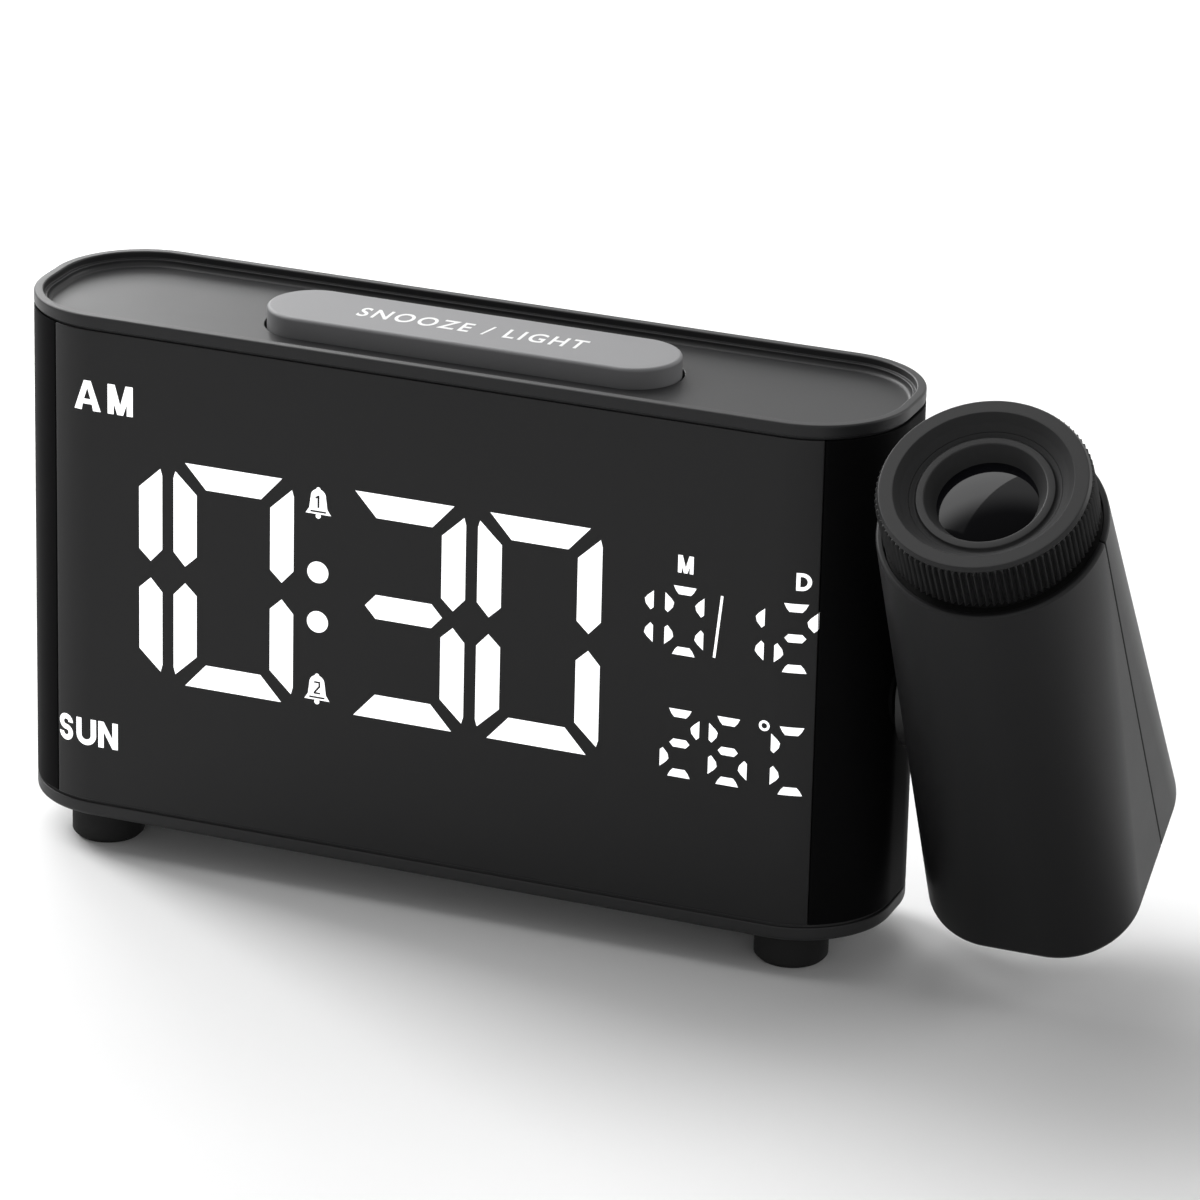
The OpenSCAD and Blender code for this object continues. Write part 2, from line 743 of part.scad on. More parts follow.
module battery_door() color([0.14, 0.14, 0.145]) {
    difference() {
        translate([0, 0, base_z]) cylinder(r = door_r, h = door_t);
        translate([-coin_slot_l / 2, -coin_slot_w / 2, base_z - over])
            cube([coin_slot_l, coin_slot_w, over + 0.9]);
    }
    translate([0, 0, base_z + door_t - eps])
        tube(neck_out_r, neck_in_r, lug_z + lug_t - base_z - door_t + eps);
    translate([0, 0, base_z + door_t - eps])
        cylinder(r = cell_r / 2, h = cell_z - part_gap - base_z - door_t + eps);
    for (s = [0, 180]) translate([0, 0, lug_z]) rotate([0, 0, s])
        lug_sector(neck_out_r - 0.1, lug_r, lug_a, lug_t);
}

module cell_holder() color([0.12, 0.12, 0.12]) {
    difference() {
        translate([0, 0, shell_z0])
            cylinder(r = holder_r, h = cell_z + cell_t + part_gap + holder_roof - shell_z0);
        translate([0, 0, shell_z0 - over])
            cylinder(r = lug_r + free_gap, h = lug_z + lug_t + 0.2 - shell_z0 + over);
        translate([0, 0, shell_z0])
            cylinder(r = cell_r + free_gap, h = cell_z + cell_t + part_gap - shell_z0);
    }
}

module coin_cell() color([0.75, 0.75, 0.76]) {
    translate([0, 0, cell_z]) {
        cylinder(r = cell_r - 1.2, h = cell_t);
        translate([0, 0, 0.4]) cylinder(r = cell_r, h = cell_t - 0.4);
    }
}

module foot(x, y) color([0.09, 0.09, 0.09]) {
    edge = 0.7;
    translate([x * (half_len - foot_end), y * (half_dep - foot_side), 0]) {
        cylinder(r1 = foot_r - edge, r2 = foot_r, h = edge);
        translate([0, 0, edge]) cylinder(r = foot_r, h = foot_h - edge);
        translate([0, 0, foot_h - eps]) cylinder(r = foot_plug_r, h = foot_plug_h + eps);
    }
}

module foot_front_left() foot(-1, -1);
module foot_front_right() foot(1, -1);
module foot_back_left() foot(-1, 1);
module foot_back_right() foot(1, 1);

module case_screws() color([0.55, 0.55, 0.57]) {
    for (p = case_screws_xy) translate([p[0], p[1], base_z + case_head_h]) rotate([180, 0, 0])
        screw(case_screw_r, shell_z0 + case_boss_h - 1.4 - base_z - case_head_h, case_head_r,
            case_head_h - 0.2);
}

// ---------- snooze bar ----------

module snooze_bar() color([0.6, 0.6, 0.61]) {
    difference() {
        union() {
            translate([0, 0, bar_flange_z]) stadium(bar_len, bar_w, bar_top - bar_flange_z);
            translate([0, 0, bar_flange_z])
                stadium(bar_len + 2 * bar_flange_w, bar_w + 2 * bar_flange_w, bar_flange_t);
        }
        translate([0, 0, bar_flange_z - over])
            stadium(bar_len - 2 * bar_skin, bar_w - 2 * bar_skin, bar_top - bar_flange_z - bar_skin + over);
    }
    for (s = [-1, 1]) translate([s * snooze_switch_x, 0, stem_z])
        cylinder(r = stem_r, h = bar_top - bar_skin + eps - stem_z);
}

module snooze_board() color([0.1, 0.3, 0.15]) {
    difference() {
        box_between([-snooze_board_x, -snooze_board_y, snooze_board_top - board_t],
                    [snooze_board_x, snooze_board_y, snooze_board_top]);
        for (s = [-1, 1]) translate([s * snooze_post_x, 0, snooze_board_top - board_t - over])
            cylinder(r = screw_r + part_gap, h = board_t + 2 * over);
    }
}

module snooze_switches() color([0.2, 0.2, 0.21]) {
    for (s = [-1, 1]) translate([s * snooze_switch_x, 0, snooze_board_top]) tact_switch();
}

module snooze_screws() color([0.6, 0.6, 0.62]) {
    for (s = [-1, 1]) translate([s * snooze_post_x, 0, snooze_board_top - board_t]) rotate([180, 0, 0])
        screw(screw_r, board_t + 5.4, screw_head_r, screw_head_h);
}

// ---------- display module ----------

module display_reflector() color([0.9, 0.9, 0.88]) {
    difference() {
        box_between([-display_x, reflector_y, display_z0], [display_x, display_y, display_z1]);
        for (x = big_x) light_well(x - digit_w / 2, x + digit_w / 2, mark_z - digit_h / 2,
            mark_z + digit_h / 2);
        light_well(colon_x - 2.5, colon_x + 2.5, mark_z - digit_h / 2, mark_z + digit_h / 2);
        light_well(big_x[3] + digit_w / 2 + well_wall, display_x, small_z2 - small_h / 2 - 1,
            letter_z + letter_h);
        for (x = [-post_x, post_x], z = [post_low, post_high]) {
            rod_y(screw_r + part_gap, x, z, reflector_y - over, display_y + over);
            rod_y(screw_head_r + part_gap, x, z, reflector_y - over, reflector_y + screw_head_h + 0.4);
        }
    }
}

// A window through the reflector, kept a wall's width inside its ends
module light_well(x0, x1, z0, z1) {
    box_between([max(x0, well_wall - display_x), reflector_y - over, z0],
                [min(x1, display_x - well_wall), display_y + over, z1]);
}

module display_board() color([0.1, 0.3, 0.15]) {
    difference() {
        box_between([-display_x, display_y, display_z0], [display_x, display_back, display_z1]);
        for (x = [-post_x, post_x], z = [post_low, post_high])
            rod_y(screw_r + part_gap, x, z, display_y - over, display_back + over);
    }
}

module display_screws() color([0.6, 0.6, 0.62]) {
    for (x = [-post_x, post_x], z = [post_low, post_high])
        translate([x, reflector_y + screw_head_h + 0.4, z])
        rotate([90, 0, 0]) screw(screw_r, reflector_t + board_t + 4, screw_head_r, screw_head_h);
}

// ---------- main board ----------

module main_board() color([0.1, 0.3, 0.15]) {
    difference() {
        box_between([-main_x, main_front, main_z0], [main_x, main_back, main_z1]);
        for (x = [-post_x, post_x])
            rod_y(post_thin_r + 0.15, x, post_low, main_front - over, main_back + over);
        for (x = board_screw_x) rod_y(screw_r + part_gap, x, post_low, main_front - over, main_back + over);
    }
}

module board_screws() color([0.6, 0.6, 0.62]) {
    for (x = board_screw_x) translate([x, main_front, post_low]) rotate([90, 0, 0])
        screw(screw_r, board_t + 5, screw_head_r, screw_head_h);
}

module board_components() color([0.07, 0.07, 0.08]) {
    box_between([-9, main_back, main_z0 + 17], [3, main_back + 1.6, main_z0 + 29]);
    box_between([8, main_back, main_z0 + 20], [16, main_back + 3, main_z0 + 24]);
    for (x = [-30, -22]) rod_y(2.5, x, main_z0 + 18, main_back, main_back + 5.4);
    translate([link_x1 - link_size[0], main_front - link_size[1], pivot_z - link_size[2] / 2])
        cube(link_size);
}

module rear_switches() color([0.2, 0.2, 0.21]) {
    for (x = button_cols, z = button_rows) translate([x, main_back, z]) rotate([-90, 0, 0]) tact_switch();
}

// Cap through the back wall, flange inside it and a stem over the switch
module rear_button(col, row) color([0.12, 0.12, 0.125]) {
    x = button_cols[col];
    z = button_rows[row];
    rod_y(button_r, x, z, button_flange_y - eps, half_dep + button_out);
    rod_y(button_flange_r, x, z, button_flange_y - button_flange_t, button_flange_y);
    rod_y(stem_r, x, z, button_y_in, button_flange_y - button_flange_t + eps);
}

module button_set() rear_button(0, 0);
module button_up() rear_button(1, 0);
module button_down() rear_button(2, 0);
module button_alarm() rear_button(0, 1);
module button_light() rear_button(1, 1);
module button_projector() rear_button(2, 1);

module dc_jack() color([0.05, 0.05, 0.05]) {
    mouth = half_dep - socket_set_in;
    body_back = half_dep - wall - free_gap;
    difference() {
        union() {
            box_between([jack_x - jack_w / 2, main_back, socket_z - jack_w / 2],
                [jack_x + jack_w / 2, body_back, socket_z + jack_w / 2]);
            rod_y(jack_nose_r, jack_x, socket_z, body_back - eps, mouth);
        }
        rod_y(jack_bore_r, jack_x, socket_z, mouth - jack_bore_deep, mouth + over);
    }
    rod_y(jack_pin_r, jack_x, socket_z, mouth - jack_bore_deep - eps, mouth - 1);
}

module usb_port() color([0.7, 0.7, 0.72]) {
    mouth = half_dep - socket_set_in;
    w = usb_in_w / 2;
    h = usb_in_h / 2;
    difference() {
        box_between([usb_x - w - usb_skin, main_back, socket_z - h - usb_skin],
            [usb_x + w + usb_skin, mouth, socket_z + h + usb_skin]);
        box_between([usb_x - w, mouth - usb_deep, socket_z - h], [usb_x + w, mouth + over, socket_z + h]);
    }
    box_between([usb_x - usb_tongue_w / 2, mouth - usb_deep - eps, socket_z + h - 0.7 - usb_tongue_h],
                [usb_x + usb_tongue_w / 2, mouth - 1, socket_z + h - 0.7]);
}

module buzzer() color([0.06, 0.06, 0.06]) {
    difference() {
        rod_y(buzzer_r, buzzer_x, buzzer_z, main_back, main_back + buzzer_h);
        rod_y(1.2, buzzer_x, buzzer_z, main_back + buzzer_h - 1.5, main_back + buzzer_h + over);
    }
}

module temp_sensor() color([0.5, 0.35, 0.15]) {
    rod_y(1.3, sensor_x, sensor_z, main_back + 3.2, main_back + 5.6);
    for (s = [-1, 1]) rod_y(0.3, sensor_x + s * 0.7, sensor_z, main_back, main_back + 3.2 + eps);
}

// ---------- projector arm ----------

// Puts a piece drawn in the arm's own frame in its place
module on_arm() {
    translate([arm_x, 0, pivot_z]) rotate([tilt, 0, 0]) children();
}

// The arm's outside, or its inside when drawn in by the wall: round at the top, a rounded
// rectangle at the foot
module arm_form(inset) {
    z0 = inset - arm_down;
    edge = inset > 0 ? 0 : arm_edge_r;
    hull() {
        translate([0, 0, arm_up - inset - eps]) cylinder(r = arm_top_r - inset, h = eps, $fn = 64);
        for (x = [-1, 1], y = [-1, 1])
            translate([x * (arm_foot_x - arm_foot_r), y * (arm_foot_y - arm_foot_r) - arm_foot_fwd, z0]) {
                cylinder(r = arm_foot_r - inset - 0.6 * edge, h = eps, $fn = 32);
                translate([0, 0, 0.3 * edge])
                    cylinder(r = arm_foot_r - inset - 0.15 * edge, h = eps, $fn = 32);
                translate([0, 0, edge]) cylinder(r = arm_foot_r - inset, h = eps, $fn = 32);
            }
    }
}

// One half of the arm's shell: side = -1 is the front half, side = 1 the rear half
module arm_shell(side) {
    big = 3 * arm_up;
    difference() {
        union() {
            difference() {
                arm_form(0);
                arm_form(arm_wall);
            }
            intersection() {
                arm_form(arm_wall / 2);
                arm_inner_parts();
            }
        }
        translate([-big, side > 0 ? seam_gap / 2 - 2 * big : -seam_gap / 2, -big]) cube(2 * big);
        translate([0, 0, plate_seat]) cylinder(r = recess_r, h = arm_up);
        translate([0, 0, plate_seat - plate_ledge_t - over]) cylinder(r = plate_ledge_r, h = arm_up);
        translate([-arm_x, 0, 0]) {
            rod_x(axle_r + part_gap, 0, collar_x0, flange_x + over);
            rod_x(flange_r + part_gap, 0, flange_x - part_gap, flange_x + flange_t);
        }
        for (x = arm_screws_x) {
            rod_y(screw_r + pilot_gap, x, arm_screw_z, -8, arm_up);
            rod_y(arm_screw_head_r + part_gap, x, arm_screw_z, arm_screw_y, arm_up);
        }
    }
}

// Ribs that hold the light tunnel, the neck plate's ledge and the screw posts
module arm_inner_parts() {
    for (z = rib_z) translate([0, 0, z]) difference() {
        translate([-arm_up, -arm_up, 0]) cube([2 * arm_up, 2 * arm_up, rib_t]);
        translate([0, 0, -over]) cylinder(r = tunnel_r + run_gap, h = rib_t + 2 * over);
    }
    translate([0, 0, plate_seat - plate_ledge_t]) cylinder(r = recess_r, h = plate_ledge_t);
    for (x = arm_screws_x) rod_y(arm_post_r, x, arm_screw_z, -arm_up, arm_up);
}

module projector_front_shell() color([0.1, 0.1, 0.1]) on_arm() arm_shell(-1);

module projector_rear_shell() color([0.13, 0.13, 0.13]) on_arm() arm_shell(1);

module projector_screws() color([0.55, 0.55, 0.57]) on_arm() {
    for (x = arm_screws_x) translate([x, arm_screw_y, arm_screw_z]) rotate([-90, 0, 0])
        screw(screw_r, arm_screw_y + 7, arm_screw_head_r, screw_head_h);
}

module neck_plate() color([0.05, 0.05, 0.05]) on_arm() {
    difference() {
        union() {
            translate([0, 0, plate_seat]) cylinder(r = recess_r - part_gap, h = plate_t);
            translate([0, 0, plate_seat]) cylinder(r = neck_r, h = neck_top - plate_seat);
        }
        translate([0, 0, plate_seat - over]) cylinder(r = neck_bore_r, h = neck_top);
    }
    translate([key_in_r, -key_w / 2, plate_seat])
        cube([neck_bore_r + 0.3 - key_in_r, key_w, key_top - plate_seat]);
}

// Ribbed outline: a zigzag between the rib tops and the rib valleys
module ribbed_outline(r, deep, count) {
    polygon([for (i = [0:2 * count - 1]) let (q = r - (i % 2) * deep, a = i * 180 / count)
        [q * cos(a), q * sin(a)]]);
}

module focus_ring() color([0.12, 0.12, 0.12]) on_arm() {
    chamfer = 0.5;
    top_r = ring_r - rib_deep - 0.05;
    difference() {
        union() {
            translate([0, 0, ring_z0]) linear_extrude(ring_h - 2 * chamfer)
                ribbed_outline(ring_r, rib_deep, ring_ribs);
            translate([0, 0, ring_z1 - 2 * chamfer - eps]) cylinder(r = top_r, h = chamfer + 2 * eps);
            translate([0, 0, ring_z1 - chamfer])
                cylinder(r1 = top_r, r2 = top_r - chamfer / 2, h = chamfer);
            translate([0, 0, ring_collar_z]) cylinder(r = ring_collar_r, h = ring_z0 - ring_collar_z + eps);
        }
        translate([0, 0, ring_collar_z - over]) cylinder(r = barrel_r + run_gap, h = 2 * ring_h);
        translate([0, 0, dish_z])
            cylinder(r1 = barrel_r + run_gap, r2 = dish_r, h = ring_z1 - dish_z + eps);
        translate([0, 0, ring_collar_z - over])
            tube(neck_r + part_gap, neck_bore_r - part_gap, ring_groove_top - ring_collar_z + over);
        translate([0, 0, ring_collar_z - over])
            cylinder(r = neck_bore_r, h = ring_tube_z - ring_collar_z + over);
    }
}

module lens_barrel() color([0.07, 0.07, 0.07]) on_arm() {
    difference() {
        translate([0, 0, barrel_z0]) cylinder(r = barrel_r, h = barrel_len);
        translate([0, 0, barrel_z0 - over])
            cylinder(r = lens_r + part_gap, h = lens_seat - barrel_z0 + over);
        translate([0, 0, barrel_z0 - over]) cylinder(r = lens_open_r, h = barrel_len + 2 * over);
        translate([0, 0, lens_seat + lens_lip_t]) cylinder(r = mouth_in_r, h = barrel_len);
        translate([0, 0, barrel_step_z - mouth_deep])
            cylinder(r1 = mouth_in_r, r2 = mouth_r, h = mouth_deep);
        translate([0, 0, barrel_step_z]) cylinder(r = mouth_r, h = barrel_len);
        translate([0, 0, barrel_step_z])
            cylinder(r1 = barrel_step_r, r2 = barrel_cone_r, h = barrel_top - barrel_step_z + eps);
        translate([key_in_r - 0.3, -key_w / 2 - 0.15, barrel_z0 - over])
            cube([barrel_r, key_w + 0.3, key_top + focus_travel + free_gap - barrel_z0 + over]);
    }
}

module projection_lens() color([0.35, 0.38, 0.4]) on_arm() {
    intersection() {
        translate([0, 0, lens_flat]) cylinder(r = lens_r, h = lens_apex - lens_flat + over);
        translate([0, 0, lens_apex - lens_ball_r]) sphere(r = lens_ball_r);
    }
}

module lens_retainer() color([0.08, 0.08, 0.08]) on_arm() {
    translate([0, 0, lens_flat - retainer_t]) tube(lens_r, retainer_in_r, retainer_t);
}

module light_tunnel() color([0.06, 0.06, 0.06]) on_arm() {
    translate([0, 0, tunnel_z0]) tube(tunnel_r, tunnel_in_r, tunnel_z1 - tunnel_z0);
    translate([0, 0, tunnel_step_z - 1]) tube(tunnel_in_r + 0.2, tunnel_step_r, 1);
    translate([0, 0, slide_z - 1.4]) linear_extrude(1.4) difference() {
        circle(r = tunnel_in_r + 0.2);
        square(slide_window, center = true);
    }
}

module condenser_lens() color([0.7, 0.75, 0.78]) on_arm() {
    intersection() {
        translate([0, 0, tunnel_step_z]) cylinder(r = condenser_r, h = condenser_t);
        translate([0, 0, tunnel_step_z + condenser_t - lens_ball_r]) sphere(r = lens_ball_r);
    }
}

module time_slide() color([0.4, 0.45, 0.42]) on_arm() {
    translate([-slide_w / 2, -slide_w / 2, slide_z]) cube([slide_w, slide_w, slide_t]);
}

module led_board() color([0.8, 0.8, 0.78]) on_arm() {
    translate([0, 0, tunnel_z0 - board_t]) cylinder(r = led_board_r, h = board_t);
}

module projector_led() color([0.95, 0.9, 0.5]) on_arm() {
    translate([0, 0, tunnel_z0]) cylinder(r = led_r, h = led_h / 2);
    intersection() {
        translate([0, 0, tunnel_z0]) cylinder(r = led_r, h = 2 * led_r);
        translate([0, 0, tunnel_z0 + led_h / 2 - 0.4]) sphere(r = led_r);
    }
}

module heat_sink() color([0.75, 0.76, 0.78]) on_arm() {
    top = tunnel_z0 - board_t;
    translate([-sink_half, -sink_half, top - sink_base_t])
        cube([2 * sink_half, 2 * sink_half, sink_base_t]);
    for (i = [0:sink_fins - 1])
        translate([-sink_half + i * (2 * sink_half - fin_t) / (sink_fins - 1), -sink_half, top - sink_h])
            cube([fin_t, 2 * sink_half, sink_h - sink_base_t + eps]);
}

// ---------- hinge ----------

module hinge_axle() color([0.2, 0.2, 0.2]) {
    difference() {
        union() {
            rod_x(axle_r, pivot_z, axle_x0, axle_x1);
            rod_x(shoulder_r, pivot_z, shoulder_x0, collar_x0 + eps);
            rod_x(collar_r, pivot_z, collar_x0, collar_x1);
            rod_x(flange_r, pivot_z, flange_x, flange_x + flange_t);
        }
        rod_x(axle_bore_r, pivot_z, axle_x0 - over, axle_x1 + over);
        difference() {
            rod_x(2 * axle_r, pivot_z, clip_x - run_gap, clip_x + clip_t + run_gap);
            rod_x(clip_groove_r, pivot_z, clip_x - over, clip_x + clip_t + over);
        }
    }
}

module friction_washer() color([0.7, 0.7, 0.72]) {
    translate([boss_x0 - free_gap - washer_t, 0, pivot_z]) rotate([0, 90, 0])
        tube(washer_r, axle_r + run_gap, washer_t);
}

module retaining_clip() color([0.5, 0.5, 0.52]) {
    translate([clip_x, 0, pivot_z]) rotate([0, 90, 0]) difference() {
        tube(clip_r, clip_groove_r + run_gap, clip_t);
        translate([0, -axle_r * 0.7, -over]) cube([clip_r + over, axle_r * 1.4, clip_t + 2 * over]);
    }
}

module projector_cable() color([0.15, 0.15, 0.15]) {
    riser_x = flange_x + flange_t + cable_r + free_gap;
    rod_x(cable_r, pivot_z, link_x1 + free_gap, riser_x);
    on_arm() translate([riser_x - arm_x, 0, 0]) {
        sphere(r = cable_r + part_gap);
        cylinder(r = cable_r, h = tunnel_z0 - board_t);
    }
}

rear_housing();
front_lens();
top_cover();
base_plate();
foot_front_left();
foot_front_right();
foot_back_left();
foot_back_right();
snooze_bar();
display_segments();
display_reflector();
display_board();
display_screws();
main_board();
board_components();
board_screws();
rear_switches();
button_set();
button_up();
button_down();
button_alarm();
button_light();
button_projector();
snooze_board();
snooze_switches();
snooze_screws();
dc_jack();
usb_port();
buzzer();
temp_sensor();
coin_cell();
cell_holder();
battery_door();
case_screws();
projector_front_shell();
projector_rear_shell();
projector_screws();
neck_plate();
focus_ring();
lens_barrel();
projection_lens();
lens_retainer();
light_tunnel();
condenser_lens();
time_slide();
led_board();
projector_led();
heat_sink();
hinge_axle();
friction_washer();
retaining_clip();
projector_cable();
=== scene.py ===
"""The looks of a projection alarm clock.

A slim body with round ends carries a smoked front panel with lit marks, a snooze bar in its top
tray, and a projector arm with a ribbed focus ring at its head. Lengths are in millimetres up to the
point where a mesh is made, and the origin is on the table under the middle of the body.
"""

from math import acos, cos, degrees, pi, radians, sin, sqrt, tan

import bmesh
import bpy
from mathutils import Matrix, Vector


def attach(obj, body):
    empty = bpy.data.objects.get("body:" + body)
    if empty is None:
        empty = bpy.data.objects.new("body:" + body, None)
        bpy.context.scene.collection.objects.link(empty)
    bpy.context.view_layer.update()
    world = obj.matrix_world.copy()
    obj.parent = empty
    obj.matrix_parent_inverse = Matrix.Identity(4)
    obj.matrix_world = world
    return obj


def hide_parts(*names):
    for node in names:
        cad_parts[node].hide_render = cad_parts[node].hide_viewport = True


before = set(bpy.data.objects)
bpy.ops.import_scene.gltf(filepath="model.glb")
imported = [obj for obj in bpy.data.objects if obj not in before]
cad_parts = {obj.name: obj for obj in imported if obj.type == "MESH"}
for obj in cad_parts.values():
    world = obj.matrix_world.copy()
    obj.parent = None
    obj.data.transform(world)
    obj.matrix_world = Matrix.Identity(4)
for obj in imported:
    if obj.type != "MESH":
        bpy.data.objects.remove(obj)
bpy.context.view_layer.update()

MM = 0.001

# The body's plan outline and its levels
HALF_LEN = 71.0
HALF_DEP = 17.25
END_R = 14.9
WALL = 2.0
BASE_Z = 6.1
BASE_TOP = 8.4
SHELL_Z0 = 8.85
SHELL_Z1 = 86.55
RIM_Z0 = 87.05
RIM_Z = 88.9
TRAY_Z = 86.7
TRAY_UNDER = 85.1
PANEL_X = 62.55
PIVOT_Z = 43.1
GROOVE_IN = 0.45

# The snooze bar in the tray
BAR_HALF_LEN = 33.5
BAR_HALF_W = 7.4
BAR_GAP = 0.35
BAR_TOP = 89.8

# What the base plate carries
FOOT_X = 57.4
FOOT_Y = 8.35
FOOT_PAD_R = 5.7
DOOR_R = 12.15
DOOR_GAP = 0.15
DOOR_LIP_R = 10.8
CASE_SCREWS = ((-34, 12.2), (34, 12.2), (-66, 0), (66, 0))
CASE_HEAD_R = 2.7
CASE_SHANK_R = 1.4

# What the back wall carries
BUTTON_ROWS = ((60.05, ("set", "up", "down")), (49.05, ("alarm", "light", "projector")))
BUTTON_X = (-36, -22, -8)
BUTTON_R = 3.3
BUTTON_GAP = 0.15
BOARD_Y = 8.05
SOCKET_Z = 24.05
SOCKET_MOUTH_Y = 17.05
SOCKET_INSIDE_Y = 16.05
INLET_X = 38
INLET_HOLE_R = 4.0
USB_X = 24
USB_HOLE = (7, 3.3)
USB_SHELL = (6.75, 3.05)
USB_SHEET = 0.5
SOUND_X = 24
SOUND_Z = 53.05
SOUND_HOLE_R = 0.9
SOUND_CIRCLE_R = 2.8
VENT_X = -46
VENT_Z = 38.55
VENT_STEP = 3

# The projector arm, in its own frame: pivot at the origin, Z along the arm
ARM_X = 91.2
ARM_TILT = 32.5
ARM_TOP = 44.9
ARM_FOOT = -31.3
ARM_TOP_R = 17.05
ARM_EDGE_R = 0.5
ARM_END_HALF_X = 16.7
ARM_END_HALF_Y = 21.1
ARM_END_CORNER_R = 12.0
ARM_END_FORWARD = 2.5
ARM_END_ROUND = 1.5
ARM_WALL = 1.8
ARM_SCREW_X = 10.5
ARM_SCREW_Z = -22
ARM_SCREW_SEAT = 11.6
AXLE_R = 4.6
SEAM = 0.2
RECESS_R = 16.0
RECESS_Z = 42.2
RING_R = 15.95
RING_Z0 = 45.9
RING_Z1 = 54.4
RIBS = 96
RIB_DEEP = 0.8
BARREL_R = 11.15
BARREL_TOP = 53.05
BARREL_LONG = 16.45
LENS_SEAT = 49.6
LENS_R = 8.8

ON_ARM = Matrix.Translation((ARM_X, 0, PIVOT_Z)) @ Matrix.Rotation(radians(ARM_TILT), 4, "X")
FACING_BACK = Matrix.Rotation(radians(-90), 4, "X")
FACING_RIGHT = Matrix.Rotation(radians(90), 4, "Y")


# ---------- shapes ----------

class Shape:
    """Corners and faces of a piece, in millimetres."""

    def __init__(self):
        self.points = []
        self.faces = []

    def ring(self, points):
        """Adds a ring of corners and gives their numbers."""
        start = len(self.points)
        self.points += [tuple(p) for p in points]
        return list(range(start, len(self.points)))

    def band(self, low, high):
        """Adds the faces between two rings of as many corners."""
        for i in range(len(low)):
            j = (i + 1) % len(low)
            self.faces.append((low[i], low[j], high[j], high[i]))

    def loft(self, rings, hollow=False):
        """Skins a stack of rings: hollow joins the last to the first, otherwise both are capped."""
        made = [self.ring(r) for r in rings]
        for low, high in zip(made, made[1:]):
            self.band(low, high)
        if hollow:
            self.band(made[-1], made[0])
        else:
            self.faces += [tuple(made[0]), tuple(made[-1])]
        return self

    def joined(self, other):
        """Takes another shape's corners and faces in."""
        start = len(self.points)
        self.points += other.points
        self.faces += [tuple(i + start for i in f) for f in other.faces]
        return self

    def moved(self, *matrices):
        """A copy of the shape, put through the matrices in turn."""
        copy = Shape()
        copy.faces = list(self.faces)
        copy.points = list(self.points)
        for matrix in matrices:
            copy.points = [tuple(matrix @ Vector(p)) for p in copy.points]
        return copy


def softened(corners, steps=5):
    """A profile from (across, up, fillet) corners, with an arc at each corner that has a fillet."""
    out = []
    for i, (x, y, r) in enumerate(corners):
        if not r or i in (0, len(corners) - 1):
            out.append((x, y))
            continue
        here = Vector((x, y))
        back = (Vector(corners[i - 1][:2]) - here).normalized()
        ahead = (Vector(corners[i + 1][:2]) - here).normalized()
        half = acos(max(-1, min(1, back.dot(ahead)))) / 2
        centre = here + (back + ahead).normalized() * (r / sin(half))
        first = here + back * (r / tan(half)) - centre
        last = here + ahead * (r / tan(half)) - centre
        sweep = pi - 2 * half
        for k in range(steps + 1):
            t = k / steps
            mixed = (first * sin((1 - t) * sweep) + last * sin(t * sweep)) / sin(sweep)
            out.append(tuple(centre + mixed))
    return out


def rounded_loop(half_x, half_y, r, steps=20, shift=0.0):
    """A rounded rectangle, counter-clockwise, with the same count of points at every size."""
    loop = []
    for k, (sx, sy) in enumerate(((1, 1), (-1, 1), (-1, -1), (1, -1))):
        for i in range(steps + 1):
            a = pi / 2 * (k + i / steps)
            loop.append((sx * (half_x - r) + r * cos(a), sy * (half_y - r) + r * sin(a) + shift))
    return loop


def body_loop(inset):
    return rounded_loop(HALF_LEN - inset, HALF_DEP - inset, END_R - inset, 24)


def at_height(loop, z):
    return [(x, y, z) for x, y in loop]


def body_form(profile, hollow=False):
    """Sweeps an (inset, height) profile round the body's outline."""
    return Shape().loft([at_height(body_loop(i), z) for i, z in profile], hollow)


def prism(loop, z0, z1):
    return Shape().loft([at_height(loop, z0), at_height(loop, z1)])


def block(x0, x1, y0, y1, z0, z1):
    return prism([(x0, y0), (x1, y0), (x1, y1), (x0, y1)], z0, z1)


def lathe(profile, count=128, hollow=False):
    """Turns a (radius, height) profile about Z."""
    turns = [2 * pi * i / count for i in range(count)]
    return Shape().loft([[(r * cos(a), r * sin(a), z) for a in turns] for r, z in profile], hollow)


def drum(r, z0, z1, count=96):
    return lathe([(r, z0), (r, z1)], count)


def back_drum(r, x, z, y0, y1, count=64):
    """A cylinder along Y."""
    return drum(r, y0, y1, count).moved(FACING_BACK, Matrix.Translation((x, 0, z)))


def wall_along(path):
    """An upright wall inside a path of the body's outline, from the shell's foot to its top."""
    outer = [(cx + END_R * cos(a), cy + END_R * sin(a)) for cx, cy, a in path]
    inner = [(cx + (END_R - WALL) * cos(a), cy + (END_R - WALL) * sin(a)) for cx, cy, a in path]
    return prism(outer + inner[::-1], SHELL_Z0, SHELL_Z1)


def corner(sx, sy, a0, a1, steps=24):
    """Stations round one corner of the body's outline, with angles in degrees."""
    cx, cy = sx * (HALF_LEN - END_R), sy * (HALF_DEP - END_R)
    return [(cx, cy, radians(a0 + (a1 - a0) * i / steps)) for i in range(steps + 1)]


# ---------- making the pieces ----------

